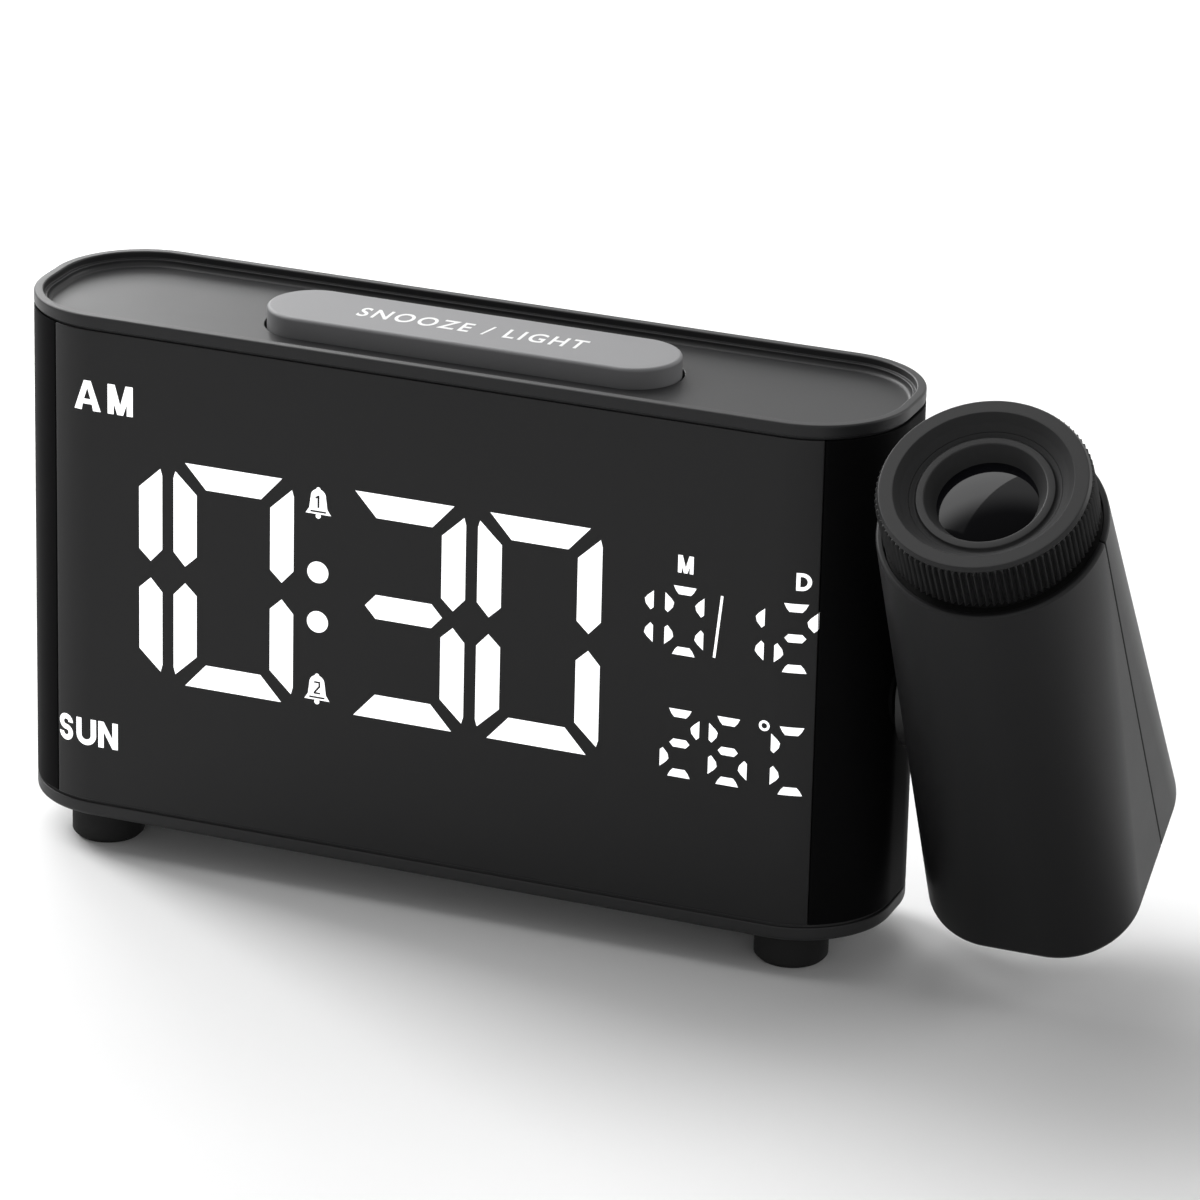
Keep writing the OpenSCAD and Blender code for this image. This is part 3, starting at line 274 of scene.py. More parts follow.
def mesh_object(name, shape):
    """Makes an object of a shape, with doubled corners welded and its faces turned outwards."""
    mesh = bpy.data.meshes.new(name)
    mesh.from_pydata([tuple(c * MM for c in p) for p in shape.points], [], shape.faces)
    made = bmesh.new()
    made.from_mesh(mesh)
    bmesh.ops.remove_doubles(made, verts=made.verts, dist=1e-7)
    bmesh.ops.dissolve_degenerate(made, edges=made.edges, dist=1e-8)
    bmesh.ops.recalc_face_normals(made, faces=made.faces)
    made.to_mesh(mesh)
    made.free()
    obj = bpy.data.objects.new(name, mesh)
    bpy.context.scene.collection.objects.link(obj)
    return obj


def cut_away(obj, cuts):
    """Takes the cut shapes out of a piece."""
    for k, shape in enumerate(cuts):
        tool = mesh_object(f"cut_{k}", shape)
        step = obj.modifiers.new("cut", "BOOLEAN")
        step.operation = "DIFFERENCE"
        step.solver = "EXACT"
        step.object = tool
        ready = obj.evaluated_get(bpy.context.evaluated_depsgraph_get())
        mesh = bpy.data.meshes.new_from_object(ready)
        obj.modifiers.clear()
        obj.data = mesh
        bpy.data.objects.remove(tool)


def piece(name, shape, finish, body, nodes, cuts=(), edge=0.0, sharp=0.0):
    """Makes one piece of the clock that rides on a body and stands for CAD nodes."""
    obj = mesh_object(name, shape)
    cut_away(obj, cuts)
    obj.data.shade_smooth()
    if sharp:
        obj.data.set_sharp_from_angle(angle=radians(sharp))
    if edge:
        bevel = obj.modifiers.new("edges", "BEVEL")
        bevel.width = edge * MM
        bevel.segments = 3
        bevel.limit_method = "ANGLE"
        bevel.angle_limit = radians(38)
        bevel.use_clamp_overlap = False
    normals = obj.modifiers.new("shading", "WEIGHTED_NORMAL")
    normals.keep_sharp = True
    obj.data.materials.clear()
    obj.data.materials.append(finish)
    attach(obj, body)
    if nodes:
        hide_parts(*nodes)
    return obj


# ---------- finishes ----------

class Wire:
    """One output of a node. Sums written with it become Math nodes."""

    def __init__(self, wiring, output):
        self.wiring = wiring
        self.output = output

    def _sum(self, operation, first, second):
        return self.wiring.node("ShaderNodeMath", {"operation": operation}, {0: first, 1: second})

    def __add__(self, other):
        return self._sum("ADD", self, other)

    def __radd__(self, other):
        return self._sum("ADD", other, self)

    def __sub__(self, other):
        return self._sum("SUBTRACT", self, other)

    def __rsub__(self, other):
        return self._sum("SUBTRACT", other, self)

    def __mul__(self, other):
        return self._sum("MULTIPLY", self, other)

    def __rmul__(self, other):
        return self._sum("MULTIPLY", other, self)

    def __truediv__(self, other):
        return self._sum("DIVIDE", self, other)

    def __rtruediv__(self, other):
        return self._sum("DIVIDE", other, self)

    def __lt__(self, other):
        return self._sum("LESS_THAN", self, other)

    def __abs__(self):
        return self.wiring.node("ShaderNodeMath", {"operation": "ABSOLUTE"}, {0: self})


class Wiring:
    """The nodes of a material or of the surround."""

    def __init__(self, tree):
        self.tree = tree

    def node(self, kind, settings=None, values=None, output=0):
        made = self.tree.nodes.new(kind)
        for key, value in (settings or {}).items():
            if key == "stops":
                stops = made.color_ramp.elements
                while len(stops) < len(value):
                    stops.new(0.5)
                for stop, (at, shade) in zip(stops, value):
                    stop.position = at
                    stop.color = (*shade, 1)
            else:
                setattr(made, key, value)
        for key, value in (values or {}).items():
            self.join(made.inputs[key], value)
        return Wire(self, made.outputs[output])

    def join(self, socket, value):
        if isinstance(value, Wire):
            self.tree.links.new(value.output, socket)
        else:
            socket.default_value = value

    def seen_directly(self):
        """1 for rays that show the background: camera, mirror and clear-glass rays."""
        camera_rays, mirror_rays, glass_rays = (
            self.node("ShaderNodeLightPath", output=f"Is {kind} Ray")
            for kind in ("Camera", "Glossy", "Transmission"))
        total = camera_rays + mirror_rays + glass_rays
        return self.node("ShaderNodeMath", {"operation": "MINIMUM"}, {0: total, 1: 1.0})


class Finish(Wiring):
    """A material of procedural nodes, placed by each piece's own coordinates."""

    def __init__(self, name, **constants):
        self.material = bpy.data.materials.new(name)
        self.material.use_nodes = True
        super().__init__(self.material.node_tree)
        self.shader = self.tree.nodes["Principled BSDF"]
        for socket, value in constants.items():
            self.shader.inputs[socket.replace("_", " ")].default_value = value
        self.place = self.node("ShaderNodeTexCoord", output="Object")
        self.relief = None

    def noise(self, size, detail=2.0, roughness=0.5, place=None):
        """Smooth random values from 0 to 1 whose blobs are about size millimetres across."""
        return self.node("ShaderNodeTexNoise", {}, {
            "Vector": place or self.place, "Scale": 1 / (size * MM), "Detail": detail,
            "Roughness": roughness})

    def cells(self, size):
        """The distance to the nearest of many random points, size millimetres apart."""
        return self.node("ShaderNodeTexVoronoi", {},
                         {"Vector": self.place, "Scale": 1 / (size * MM)}, "Distance")

    def axis(self, letter):
        """One coordinate of the place, in millimetres."""
        return self.node("ShaderNodeSeparateXYZ", {}, {0: self.place}, letter) / MM

    def stretched(self, x, y, z):
        """The place with each axis scaled."""
        return self.node("ShaderNodeVectorMath", {"operation": "MULTIPLY"},
                         {0: self.place, 1: (x, y, z)})

    def ramp(self, value, *stops):
        return self.node("ShaderNodeValToRGB", {"stops": stops}, {0: value})

    def blend(self, amount, first, second):
        """A colour between two colours."""
        first, second = ((*c, 1) if isinstance(c, tuple) else c for c in (first, second))
        return self.node("ShaderNodeMix", {"data_type": "RGBA"}, {0: amount, 6: first, 7: second}, 2)

    def raise_by(self, height, deep):
        """Adds relief: height is 0 to 1 and deep is in millimetres."""
        values = {"Strength": 1.0, "Distance": deep * MM, "Height": height}
        if self.relief:
            values["Normal"] = self.relief
        self.relief = self.node("ShaderNodeBump", {}, values)

    def done(self, **surface):
        for socket, value in surface.items():
            self.join(self.shader.inputs[socket.replace("_", " ")], value)
        if self.relief:
            self.join(self.shader.inputs["Normal"], self.relief)
        return self.material


def scaled(colour, by):
    return tuple(c * by for c in colour)


def shades(colour, by):
    """A darker and a lighter shade of a colour, to blend between."""
    return scaled(colour, 1 - by), scaled(colour, 1 + by)


def moulded(name, colour, rough, gloss=0.3, grain=0.3, deep=0.006, uneven=0.08):
    """Moulded plastic: a fine spark-eroded grain over slow changes of tone and sheen."""
    made = Finish(name, Specular_IOR_Level=gloss)
    slow = made.noise(14, 3)
    fine = made.noise(grain, 3, 0.6)
    made.raise_by(fine, deep)
    made.raise_by(made.noise(5, 2), deep * 1.5)
    tone = slow * 0.7 + fine * 0.3
    return made.done(Base_Color=made.blend(tone, *shades(colour, uneven)),
                     Roughness=rough - 0.05 + slow * 0.06 + fine * 0.05)


def metal(name, colour, rough, brushed=(1.0, 1.0, 1.0)):
    """Plated or turned metal with fine tool marks along one direction."""
    made = Finish(name, Metallic=1.0)
    marks = made.noise(0.4, 3, 0.6, made.stretched(*brushed))
    clouds = made.noise(3, 2)
    made.raise_by(marks, 0.004)
    return made.done(Base_Color=made.blend(clouds, *shades(colour, 0.06)),
                     Roughness=rough + marks * 0.15)


def housing_finish():
    """Black housing whose round ends carry painted shade, far darker than the lighter spark-eroded
    texture on the back wall.
    """
    made = Finish("housing_black", Specular_IOR_Level=0.012)
    slow = made.noise(14, 3)
    fine = made.noise(0.35, 3, 0.6)
    back = made.node("ShaderNodeMapRange", {"interpolation_type": "SMOOTHSTEP"},
                     {"Value": made.axis("Y"), "From Min": 11.0, "From Max": 15.5})
    made.raise_by(fine * (0.3 + back * 0.7), 0.016)
    tone = slow * 0.6 + fine * 0.4
    # Painted shade: the round ends are coloured much darker than the back wall, as if they lay in shade.
    ends = made.blend(tone, (0.0034, 0.0034, 0.0036), (0.0044, 0.0044, 0.0046))
    wall = made.blend(tone, (0.0115, 0.0115, 0.0118), (0.0175, 0.0175, 0.0178))
    return made.done(Base_Color=made.blend(back, ends, wall),
                     Roughness=0.46 + back * 0.08 + slow * 0.04 + fine * 0.04)


def turned(name, *bands):
    """Black round the lens: satin where the (radius, satin) bands say 1, and matt elsewhere."""
    made = Finish(name, Specular_IOR_Level=0.05, Coat_Roughness=0.38)
    tilt = radians(ARM_TILT)
    across = made.axis("X") - ARM_X
    along = made.axis("Y") * cos(tilt) + (made.axis("Z") - PIVOT_Z) * sin(tilt)
    radius = made.node("ShaderNodeMath", {"operation": "SQRT"},
                       {0: across * across + along * along})
    reach = 20.0
    satin = made.ramp(radius / reach, *((r / reach, (s, s, s)) for r, s in bands))
    slow = made.noise(14, 3)
    fine = made.noise(0.22, 3, 0.6)
    made.raise_by(fine, 0.004)
    matt_black = made.blend(slow, (0.032, 0.032, 0.0325), (0.038, 0.038, 0.0385))
    satin_black = made.blend(slow, (0.0097, 0.0097, 0.01), (0.0113, 0.0113, 0.0116))
    return made.done(Base_Color=made.blend(satin, matt_black, satin_black),
                     Roughness=0.58 - satin * 0.2 + fine * 0.05, Coat_Weight=satin * 0.36)


def smoked_panel():
    """Dark polished panel with a faint moulding flow and a barely uneven surface."""
    made = Finish("smoked_panel", Specular_IOR_Level=0.22)
    flow = made.noise(20, 2, 0.5, made.stretched(0.4, 1, 1))
    fine = made.noise(0.35, 2)
    made.raise_by(made.noise(9, 1), 0.004)
    made.raise_by(fine, 0.003)
    smoke = made.blend(flow, (0.0086, 0.0086, 0.0089), (0.0104, 0.0104, 0.0107))
    return made.done(Base_Color=smoke, Roughness=0.36 + fine * 0.05 + flow * 0.04)


def lit_marks():
    """Milk-white light windows, a little warmer where the lamp behind them is nearest."""
    made = Finish("lit_white", Emission_Strength=1.0, Roughness=0.5, Specular_IOR_Level=0.2)
    cloud = made.noise(6, 1)
    return made.done(Base_Color=made.blend(cloud, (0.6, 0.6, 0.6), (0.7, 0.7, 0.7)),
                     Emission_Color=made.blend(cloud, (0.97, 0.98, 1.0), (1.0, 1.0, 1.0)))


def rubber(name, colour):
    """Matt rubber with a pebbled skin."""
    made = Finish(name, Specular_IOR_Level=0.2)
    pebbles = made.cells(0.5)
    dust = made.noise(3, 3)
    made.raise_by(pebbles, 0.03)
    return made.done(Base_Color=made.blend(dust, scaled(colour, 0.85), scaled(colour, 1.25)),
                     Roughness=0.75 + dust * 0.12)


def coated_lens(name, colour, painted_sheen_tint):
    """Polished glass with a bloom that kills most reflections, and a painted sheen that lightens and
    tints its colour where it is seen edge-on.
    """
    made = Finish(name, Specular_IOR_Level=0.03, Coat_Roughness=0.03)
    edge = made.node("ShaderNodeLayerWeight", {}, {"Blend": 0.5}, "Facing")
    smears = made.noise(4, 3)
    made.raise_by(made.noise(12, 1), 0.002)
    slant = made.node("ShaderNodeMapRange", {"interpolation_type": "SMOOTHSTEP"},
                      {"Value": edge, "From Min": 0.15, "From Max": 0.26, "To Max": 0.54})
    # Painted sheen: the base colour turns lighter and bluer where the glass is seen edge-on.
    return made.done(Base_Color=made.blend(edge, colour, painted_sheen_tint), Roughness=0.04 + smears * 0.05,
                     Coat_Weight=slant)


def circuit_board():
    """Green solder mask over copper tracks, with rows of plated holes."""
    made = Finish("circuit_board", Specular_IOR_Level=0.45)
    tracks = abs(made.noise(4, 1, 0.5, made.stretched(1, 1, 0.35)) - 0.5) < 0.035
    holes = made.cells(2.5) < 0.16
    made.raise_by(tracks, 0.03)
    board = made.blend(tracks, (0.012, 0.075, 0.03), (0.03, 0.15, 0.06))
    return made.done(Base_Color=made.blend(holes, board, (0.55, 0.5, 0.38)),
                     Roughness=0.42 - holes * 0.1 + made.noise(1.5) * 0.1)


def lit_resin(name, colour):
    """Yellow phosphor under clear resin."""
    made = Finish(name, Specular_IOR_Level=0.5)
    grains = made.cells(0.3)
    return made.done(Base_Color=made.blend(grains, scaled(colour, 0.75), colour),
                     Roughness=0.2 + grains * 0.15)


FINISH = {
    "housing_black": housing_finish(),
    "smoked_panel": smoked_panel(),
    "cover_satin": moulded("cover_satin", (0.018, 0.018, 0.0187), 0.4, 0.2),
    "base_satin": moulded("base_satin", (0.022, 0.022, 0.0225), 0.5, 0.2),
    "foot_rubber": rubber("foot_rubber", (0.012, 0.012, 0.012)),
    "lit_white": lit_marks(),
    "white_plastic": moulded("white_plastic", (0.75, 0.75, 0.72), 0.45),
    "circuit_board": circuit_board(),
    "screw_steel": metal("screw_steel", (0.55, 0.55, 0.56), 0.25, (1, 1, 0.2)),
    "black_parts": moulded("black_parts", (0.02, 0.02, 0.021), 0.4),
    "plated_shell": metal("plated_shell", (0.7, 0.7, 0.71), 0.22, (1, 0.1, 1)),
    "contact_gold": metal("contact_gold", (0.85, 0.62, 0.25), 0.2, (1, 0.1, 1)),
    "sensor_bead": moulded("sensor_bead", (0.3, 0.13, 0.03), 0.3),
    "cell_steel": metal("cell_steel", (0.7, 0.7, 0.7), 0.2, (0.1, 1, 1)),
    "bar_grey": moulded("bar_grey", (0.215, 0.215, 0.22), 0.5, 0.25),
    "button_black": moulded("button_black", (0.014, 0.014, 0.0145), 0.5, 0.25),
    "arm_black": moulded("arm_black", (0.0076, 0.0076, 0.008), 0.45, 0.17),
    "neck_black": moulded("neck_black", (0.014, 0.014, 0.014), 0.36, 0.25),
    # The second colour of each lens is its painted edge sheen.
    "clear_lens": coated_lens("clear_lens", (0.0025, 0.0025, 0.003), (0.006, 0.006, 0.009)),
    "slide_glass": coated_lens("slide_glass", (0.1, 0.12, 0.11), (0.2, 0.25, 0.3)),
    "white_board": moulded("white_board", (0.7, 0.7, 0.68), 0.4),
    "led_resin": lit_resin("led_resin", (0.85, 0.7, 0.2)),
    "sink_aluminium": metal("sink_aluminium", (0.75, 0.75, 0.77), 0.32, (1, 0.15, 1)),
    "hinge_black": moulded("hinge_black", (0.02, 0.02, 0.02), 0.35, 0.3),
    "washer_steel": metal("washer_steel", (0.62, 0.62, 0.64), 0.28),
    "cable_jacket": rubber("cable_jacket", (0.03, 0.03, 0.03)),
    "ring_black": turned("ring_black", (13.1, 0), (13.35, 1)),
    "barrel_black": turned("barrel_black", (8.8, 0), (9.0, 1), (10.2, 1), (10.35, 0)),
    "bar_print": moulded("bar_print", (0.78, 0.78, 0.78), 0.55, 0.3, 0.2, 0.003, 0.03),
}

# CAD nodes that are shown as they are, by the finish they take
CARRIED_OVER = {
    "white_plastic": ("display_reflector",),
    "circuit_board": ("display_board", "main_board", "snooze_board"),
    "screw_steel": ("display_screws", "board_screws", "snooze_screws", "case_screws",
                    "projector_screws", "retaining_clip"),
    "black_parts": ("board_components", "rear_switches", "snooze_switches", "buzzer",
                    "cell_holder"),
    "sensor_bead": ("temp_sensor",),
    "cell_steel": ("coin_cell",),
    "neck_black": ("neck_plate", "lens_retainer", "light_tunnel"),
    "slide_glass": ("time_slide", "condenser_lens"),
    "white_board": ("led_board",),
    "led_resin": ("projector_led",),
    "sink_aluminium": ("heat_sink",),
    "hinge_black": ("hinge_axle",),
    "washer_steel": ("friction_washer",),
    "cable_jacket": ("projector_cable",),
}


def finish_inner_parts():
    """Gives the CAD nodes that stay visible their finishes."""
    for finish, nodes in CARRIED_OVER.items():
        for node in nodes:
            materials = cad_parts[node].data.materials
            materials.clear()
            materials.append(FINISH[finish])


# ---------- clock body ----------

def top_cover():
    """Rim, tray with a round inner corner, shadow groove and locating skirt."""
    profile = softened([
        (2.1, 83.55, 0), (2.1, SHELL_Z1, 0.2), (GROOVE_IN, SHELL_Z1, 0.05), (GROOVE_IN, RIM_Z0, 0.05),
        (0, RIM_Z0, 0.15), (0, RIM_Z, 0.35), (1.5, RIM_Z, 0.25), (1.5, 87.8, 0.15),
        (2.1, 87.8, 0.15), (2.1, TRAY_Z, 0.75), (4.5, TRAY_Z, 0), (6, TRAY_Z, 0)])
    inside = prism(body_loop(3.6), 82, TRAY_UNDER)
    half_w = BAR_HALF_W + BAR_GAP
    opening = prism(rounded_loop(BAR_HALF_LEN + BAR_GAP, half_w, half_w, 24), 84, 90)
    piece("top_cover_skin", body_form(profile), FINISH["cover_satin"], "clock", ["top_cover"],
          [inside, opening], edge=0.15)


def base_plate():
    """Bottom band with a soft lower edge, screw recesses and the opening for the battery door."""
    profile = softened([
        (3, BASE_Z, 0), (0, BASE_Z, 0.8), (0, BASE_TOP, 0.2), (GROOVE_IN, BASE_TOP, 0.05),
        (GROOVE_IN, SHELL_Z0, 0.1), (3, SHELL_Z0, 0)])
    below, door_seat, screw_seat, above = 5, 8.05, 7.7, 11
    cuts = [drum(DOOR_R + DOOR_GAP, below, door_seat, 128),
            drum(DOOR_LIP_R + 0.1, below, above, 128)]
    for x, y in CASE_SCREWS:
        place = Matrix.Translation((x, y, 0))
        cuts += [drum(CASE_HEAD_R, below, screw_seat, 48).moved(place),
                 drum(CASE_SHANK_R, below, above, 32).moved(place)]
    piece("base_plate_skin", body_form(profile), FINISH["base_satin"], "clock", ["base_plate"],
          cuts, edge=0.15)


def feet():
    """Four round rubber pads with a chamfered sole."""
    top = BASE_Z - 0.05
    profile = softened([(3.2, 0, 0), (FOOT_PAD_R - 0.75, 0, 0.3), (FOOT_PAD_R, 0.75, 0.5),
                        (FOOT_PAD_R, top, 0.05), (3, top, 0)], 4)
    for name, x, y in (("front_left", -1, -1), ("front_right", 1, -1), ("back_left", -1, 1),
                       ("back_right", 1, 1)):
        foot = lathe(profile, 96).moved(Matrix.Translation((FOOT_X * x, FOOT_Y * y, 0)))
        piece(f"foot_{name}_pad", foot, FINISH["foot_rubber"], "clock", [f"foot_{name}"])


def socket_block(half_x, half_z, y0, y1):
    """A block centred on the charging socket."""
    return block(USB_X - half_x, USB_X + half_x, y0, y1, SOCKET_Z - half_z, SOCKET_Z + half_z)


def back_cuts():
    """Everything that goes through the housing's back: buttons, sockets, sound holes and vents."""
    low, high = HALF_DEP - WALL - 1, HALF_DEP + 1
    cuts = [back_drum(BUTTON_R + BUTTON_GAP, x, z, low, high)
            for x in BUTTON_X for z, _ in BUTTON_ROWS]
    cuts.append(back_drum(INLET_HOLE_R, INLET_X, SOCKET_Z, low, high))
    cuts.append(socket_block(*USB_HOLE, low, high))
    cuts.append(back_drum(SOUND_HOLE_R, SOUND_X, SOUND_Z, low, high, 24))
    for i in range(6):
        a = pi / 3 * i
        x, z = SOUND_X + SOUND_CIRCLE_R * cos(a), SOUND_Z + SOUND_CIRCLE_R * sin(a)
        cuts.append(back_drum(SOUND_HOLE_R, x, z, low, high, 24))
    for i in (-1, 0, 1):
        place = Matrix.Translation((VENT_X, 0, VENT_Z + VENT_STEP * i))
        vent = prism(rounded_loop(4, 0.6, 0.59, 6), -high, -low)
        cuts.append(vent.moved(Matrix.Rotation(radians(90), 4, "X"), place))
    return cuts


def rear_housing():
    """Round ends and back wall in one piece, with the hinge boss on the right end."""
    edge = degrees(acos((PANEL_X - HALF_LEN + END_R) / END_R))
    path = (corner(1, -1, -edge, 0) + corner(1, 1, 0, 90) + corner(-1, 1, 90, 180)
            + corner(-1, -1, 180, 180 + edge))
    boss_r, boss_x0, boss_x1 = 6.0, 63.6, HALF_LEN + 0.2
    boss = lathe(softened([(AXLE_R, boss_x0, 0), (boss_r, boss_x0, 0.1), (boss_r, boss_x1, 0.15),
                           (AXLE_R, boss_x1, 0.15), (AXLE_R, boss_x0, 0)]), 96, hollow=True)
    piece("rear_housing_skin", wall_along(path), FINISH["housing_black"], "clock", ["rear_housing"],
          back_cuts(), edge=0.2)
    piece("hinge_boss", boss.moved(FACING_RIGHT, Matrix.Translation((0, 0, PIVOT_Z))),
          FINISH["housing_black"], "clock", [])


def front_panel():
    """Smoked panel that bends round both front corners and ends a hair short of the housing."""
    joint = 0.06
    edge = degrees(acos((PANEL_X - joint - HALF_LEN + END_R) / END_R))
    path = corner(-1, -1, 180 + edge, 270, 12) + corner(1, -1, 270, 360 - edge, 12)
    piece("front_panel", wall_along(path), FINISH["smoked_panel"], "clock", ["front_lens"],
          edge=0.2)


def panel_marks():
    """The lit windows, cut where the panel bends and set a hair proud of its skin."""
    proud, skin, step = 0.03, 0.15, 0.5
    made = bmesh.new()
    made.from_mesh(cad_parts["display_segments"].data)
    bend = HALF_LEN - END_R
    for side in (-1, 1):
        for k in range(14):
            everything = made.verts[:] + made.edges[:] + made.faces[:]
            cut = (side * (bend + step * k) * MM, 0, 0)
            bmesh.ops.bisect_plane(made, geom=everything, plane_co=cut, plane_no=(1, 0, 0), dist=1e-7)
    for v in made.verts:
        x, y = v.co.x / MM, v.co.y / MM
        away = max(0.0, abs(x) - bend) * (1 if x > 0 else -1)
        front = -(HALF_DEP - END_R) - sqrt(END_R ** 2 - away ** 2)
        if y < front + skin:
            out = Vector((away, front + HALF_DEP - END_R)).normalized()
            v.co.x += out.x * proud * MM
            v.co.y = (front + out.y * proud) * MM
    mesh = bpy.data.meshes.new("panel_marks")
    made.to_mesh(mesh)
    made.free()
    obj = bpy.data.objects.new("panel_marks", mesh)
    bpy.context.scene.collection.objects.link(obj)
    obj.data.materials.append(FINISH["lit_white"])
    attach(obj, "clock")
    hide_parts("display_segments")


def snooze_bar():
    """Stadium-shaped bar with a rounded top edge and a flange under the tray."""
    flange, flange_z0, flange_z1 = 1.7, 83.6, 84.8
    profile = softened([(-flange, flange_z0, 0), (-flange, flange_z1, 0.2), (0, flange_z1, 0.1),
                        (0, BAR_TOP, 0.55), (2.5, BAR_TOP, 0)])
    bar = Shape().loft([at_height(rounded_loop(BAR_HALF_LEN - i, BAR_HALF_W - i, BAR_HALF_W - i, 28), z)
                        for i, z in profile])
    piece("snooze_bar_cap", bar, FINISH["bar_grey"], "snooze_bar", ["snooze_bar"])


def snooze_words():
    """The words printed on the bar, scaled to their length and height."""
    left, low, length, tall, ink = -18.7, -2.0, 37.1, 4.0, 0.02
    words = bpy.data.curves.new("words", "FONT")
    words.body = "SNOOZE / LIGHT"
    words.space_character = 1.25
    words.extrude = 0.01
    words.offset = 0.016
    holder = bpy.data.objects.new("words", words)
    bpy.context.scene.collection.objects.link(holder)
    ready = holder.evaluated_get(bpy.context.evaluated_depsgraph_get())
    mesh = bpy.data.meshes.new_from_object(ready)
    bpy.data.objects.remove(holder)
    xs = [v.co.x for v in mesh.vertices]
    ys = [v.co.y for v in mesh.vertices]
    width, height = max(xs) - min(xs), max(ys) - min(ys)
    for v in mesh.vertices:
        v.co = (((v.co.x - min(xs)) / width * length + left) * MM,
                ((v.co.y - min(ys)) / height * tall + low) * MM,
                (BAR_TOP + (ink if v.co.z > 0 else -ink)) * MM)
    obj = bpy.data.objects.new("snooze_words", mesh)
    bpy.context.scene.collection.objects.link(obj)
    obj.data.materials.append(FINISH["bar_print"])
    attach(obj, "snooze_bar")


# ---------- back and underside ----------

def rear_buttons():
    """Round caps with a finger dish and a flange behind the wall."""
    flange_r, flange_y0, flange_y1, face_y = 4.2, 13.95, 14.95, 18.45
    profile = softened([(flange_r, flange_y0, 0), (flange_r, flange_y1, 0.1), (BUTTON_R, flange_y1, 0.1),
                        (BUTTON_R, face_y, 0.35), (2.2, face_y, 0.4), (1.4, face_y - 0.25, 0.6),
                        (0.2, face_y - 0.3, 0)])
    for z, names in BUTTON_ROWS:
        for x, name in zip(BUTTON_X, names):
            cap = lathe(profile, 72).moved(FACING_BACK, Matrix.Translation((x, 0, z)))
            piece(f"button_{name}_cap", cap, FINISH["button_black"], f"button_{name}",
                  [f"button_{name}"])


def power_inlet():
    """Barrel socket with its centre pin."""
    bore_r, outer_r, pin_r, root, mouth = 2.95, 3.8, 1.0, 9.65, SOCKET_MOUTH_Y
    ring = lathe(softened([(outer_r, root, 0), (outer_r, mouth, 0.2), (bore_r, mouth, 0.25),
                           (bore_r, root, 0), (outer_r, root, 0)]), 72, hollow=True)
    back = drum(bore_r + 0.05, root - 0.15, root + 0.05, 48)
    housing = block(-4.5, 4.5, -4.5, 4.5, BOARD_Y, 9.6)
    pin = lathe(softened([(pin_r, 9.6, 0), (pin_r, SOCKET_INSIDE_Y, 0.3),
                          (0.3, SOCKET_INSIDE_Y, 0)]), 40)
    place = Matrix.Translation((INLET_X, 0, SOCKET_Z))
    piece("inlet_barrel", ring.joined(back).joined(housing).moved(FACING_BACK, place),
          FINISH["black_parts"], "clock", ["dc_jack"], sharp=40)
    piece("inlet_pin", pin.moved(FACING_BACK, place), FINISH["plated_shell"], "clock", [])


def usb_socket():
    """Plated shell, tongue and four contacts."""
    half_x, half_z = USB_SHELL
    shell = socket_block(half_x, half_z, BOARD_Y, SOCKET_MOUTH_Y)
    mouth = socket_block(half_x - USB_SHEET, half_z - USB_SHEET, 9.25, 18)
    piece("usb_shell", shell, FINISH["plated_shell"], "clock", ["usb_port"], [mouth],
          edge=0.1)
    tongue_half, tongue_z0, tongue_z1 = 5.2, 24.0, 25.9
    tongue = block(USB_X - tongue_half, USB_X + tongue_half, 9.2, SOCKET_INSIDE_Y,
                   tongue_z0, tongue_z1)
    piece("usb_tongue", tongue, FINISH["black_parts"], "clock", [], edge=0.15)
    contacts = Shape()
    for x in (-3.5, -1.0, 1.0, 3.5):
        contacts.joined(block(USB_X + x - 0.5, USB_X + x + 0.5, 9.3, 15.6,
                              tongue_z0 - 0.08, tongue_z0 + 0.1))
    piece("usb_contacts", contacts, FINISH["contact_gold"], "clock", [], sharp=30)


def battery_door():
    """Round door with a coin slot, a mark and the lip that turns in the base plate."""
    plate_z, lip_z, lip_in_r = 7.9, 9.9, DOOR_LIP_R - 0.6
    disc = lathe(softened([(11, BASE_Z, 0), (DOOR_R, BASE_Z, 0.25), (DOOR_R, plate_z, 0.1),
                           (DOOR_LIP_R, plate_z, 0.05), (DOOR_LIP_R, lip_z, 0.1), (lip_in_r, lip_z, 0.1),
                           (lip_in_r, plate_z, 0.05), (9, plate_z, 0)]), 128)
    slot = prism(rounded_loop(6.5, 0.8, 0.4, 8), 5, 7.0)
    dot = drum(0.7, 5, 6.5, 32).moved(Matrix.Translation((0, 9.2, 0)))
    piece("battery_door_cap", disc, FINISH["base_satin"], "battery_door", ["battery_door"],
          [slot, dot], edge=0.12)


# ---------- projector arm ----------

def arm_section(z, inset):
    """The arm's rounded-rectangle section at a height, which becomes a circle at the top."""
    down = (ARM_TOP - z) / (ARM_TOP - ARM_FOOT)
    r = ARM_TOP_R + (ARM_END_CORNER_R - ARM_TOP_R) * down
    half_x = ARM_TOP_R + (ARM_END_HALF_X - ARM_TOP_R) * down
    half_y = ARM_TOP_R + (ARM_END_HALF_Y - ARM_TOP_R) * down
    loop = rounded_loop(half_x - inset, half_y - inset, r - inset, 24, -ARM_END_FORWARD * down)
    return at_height(loop, z)


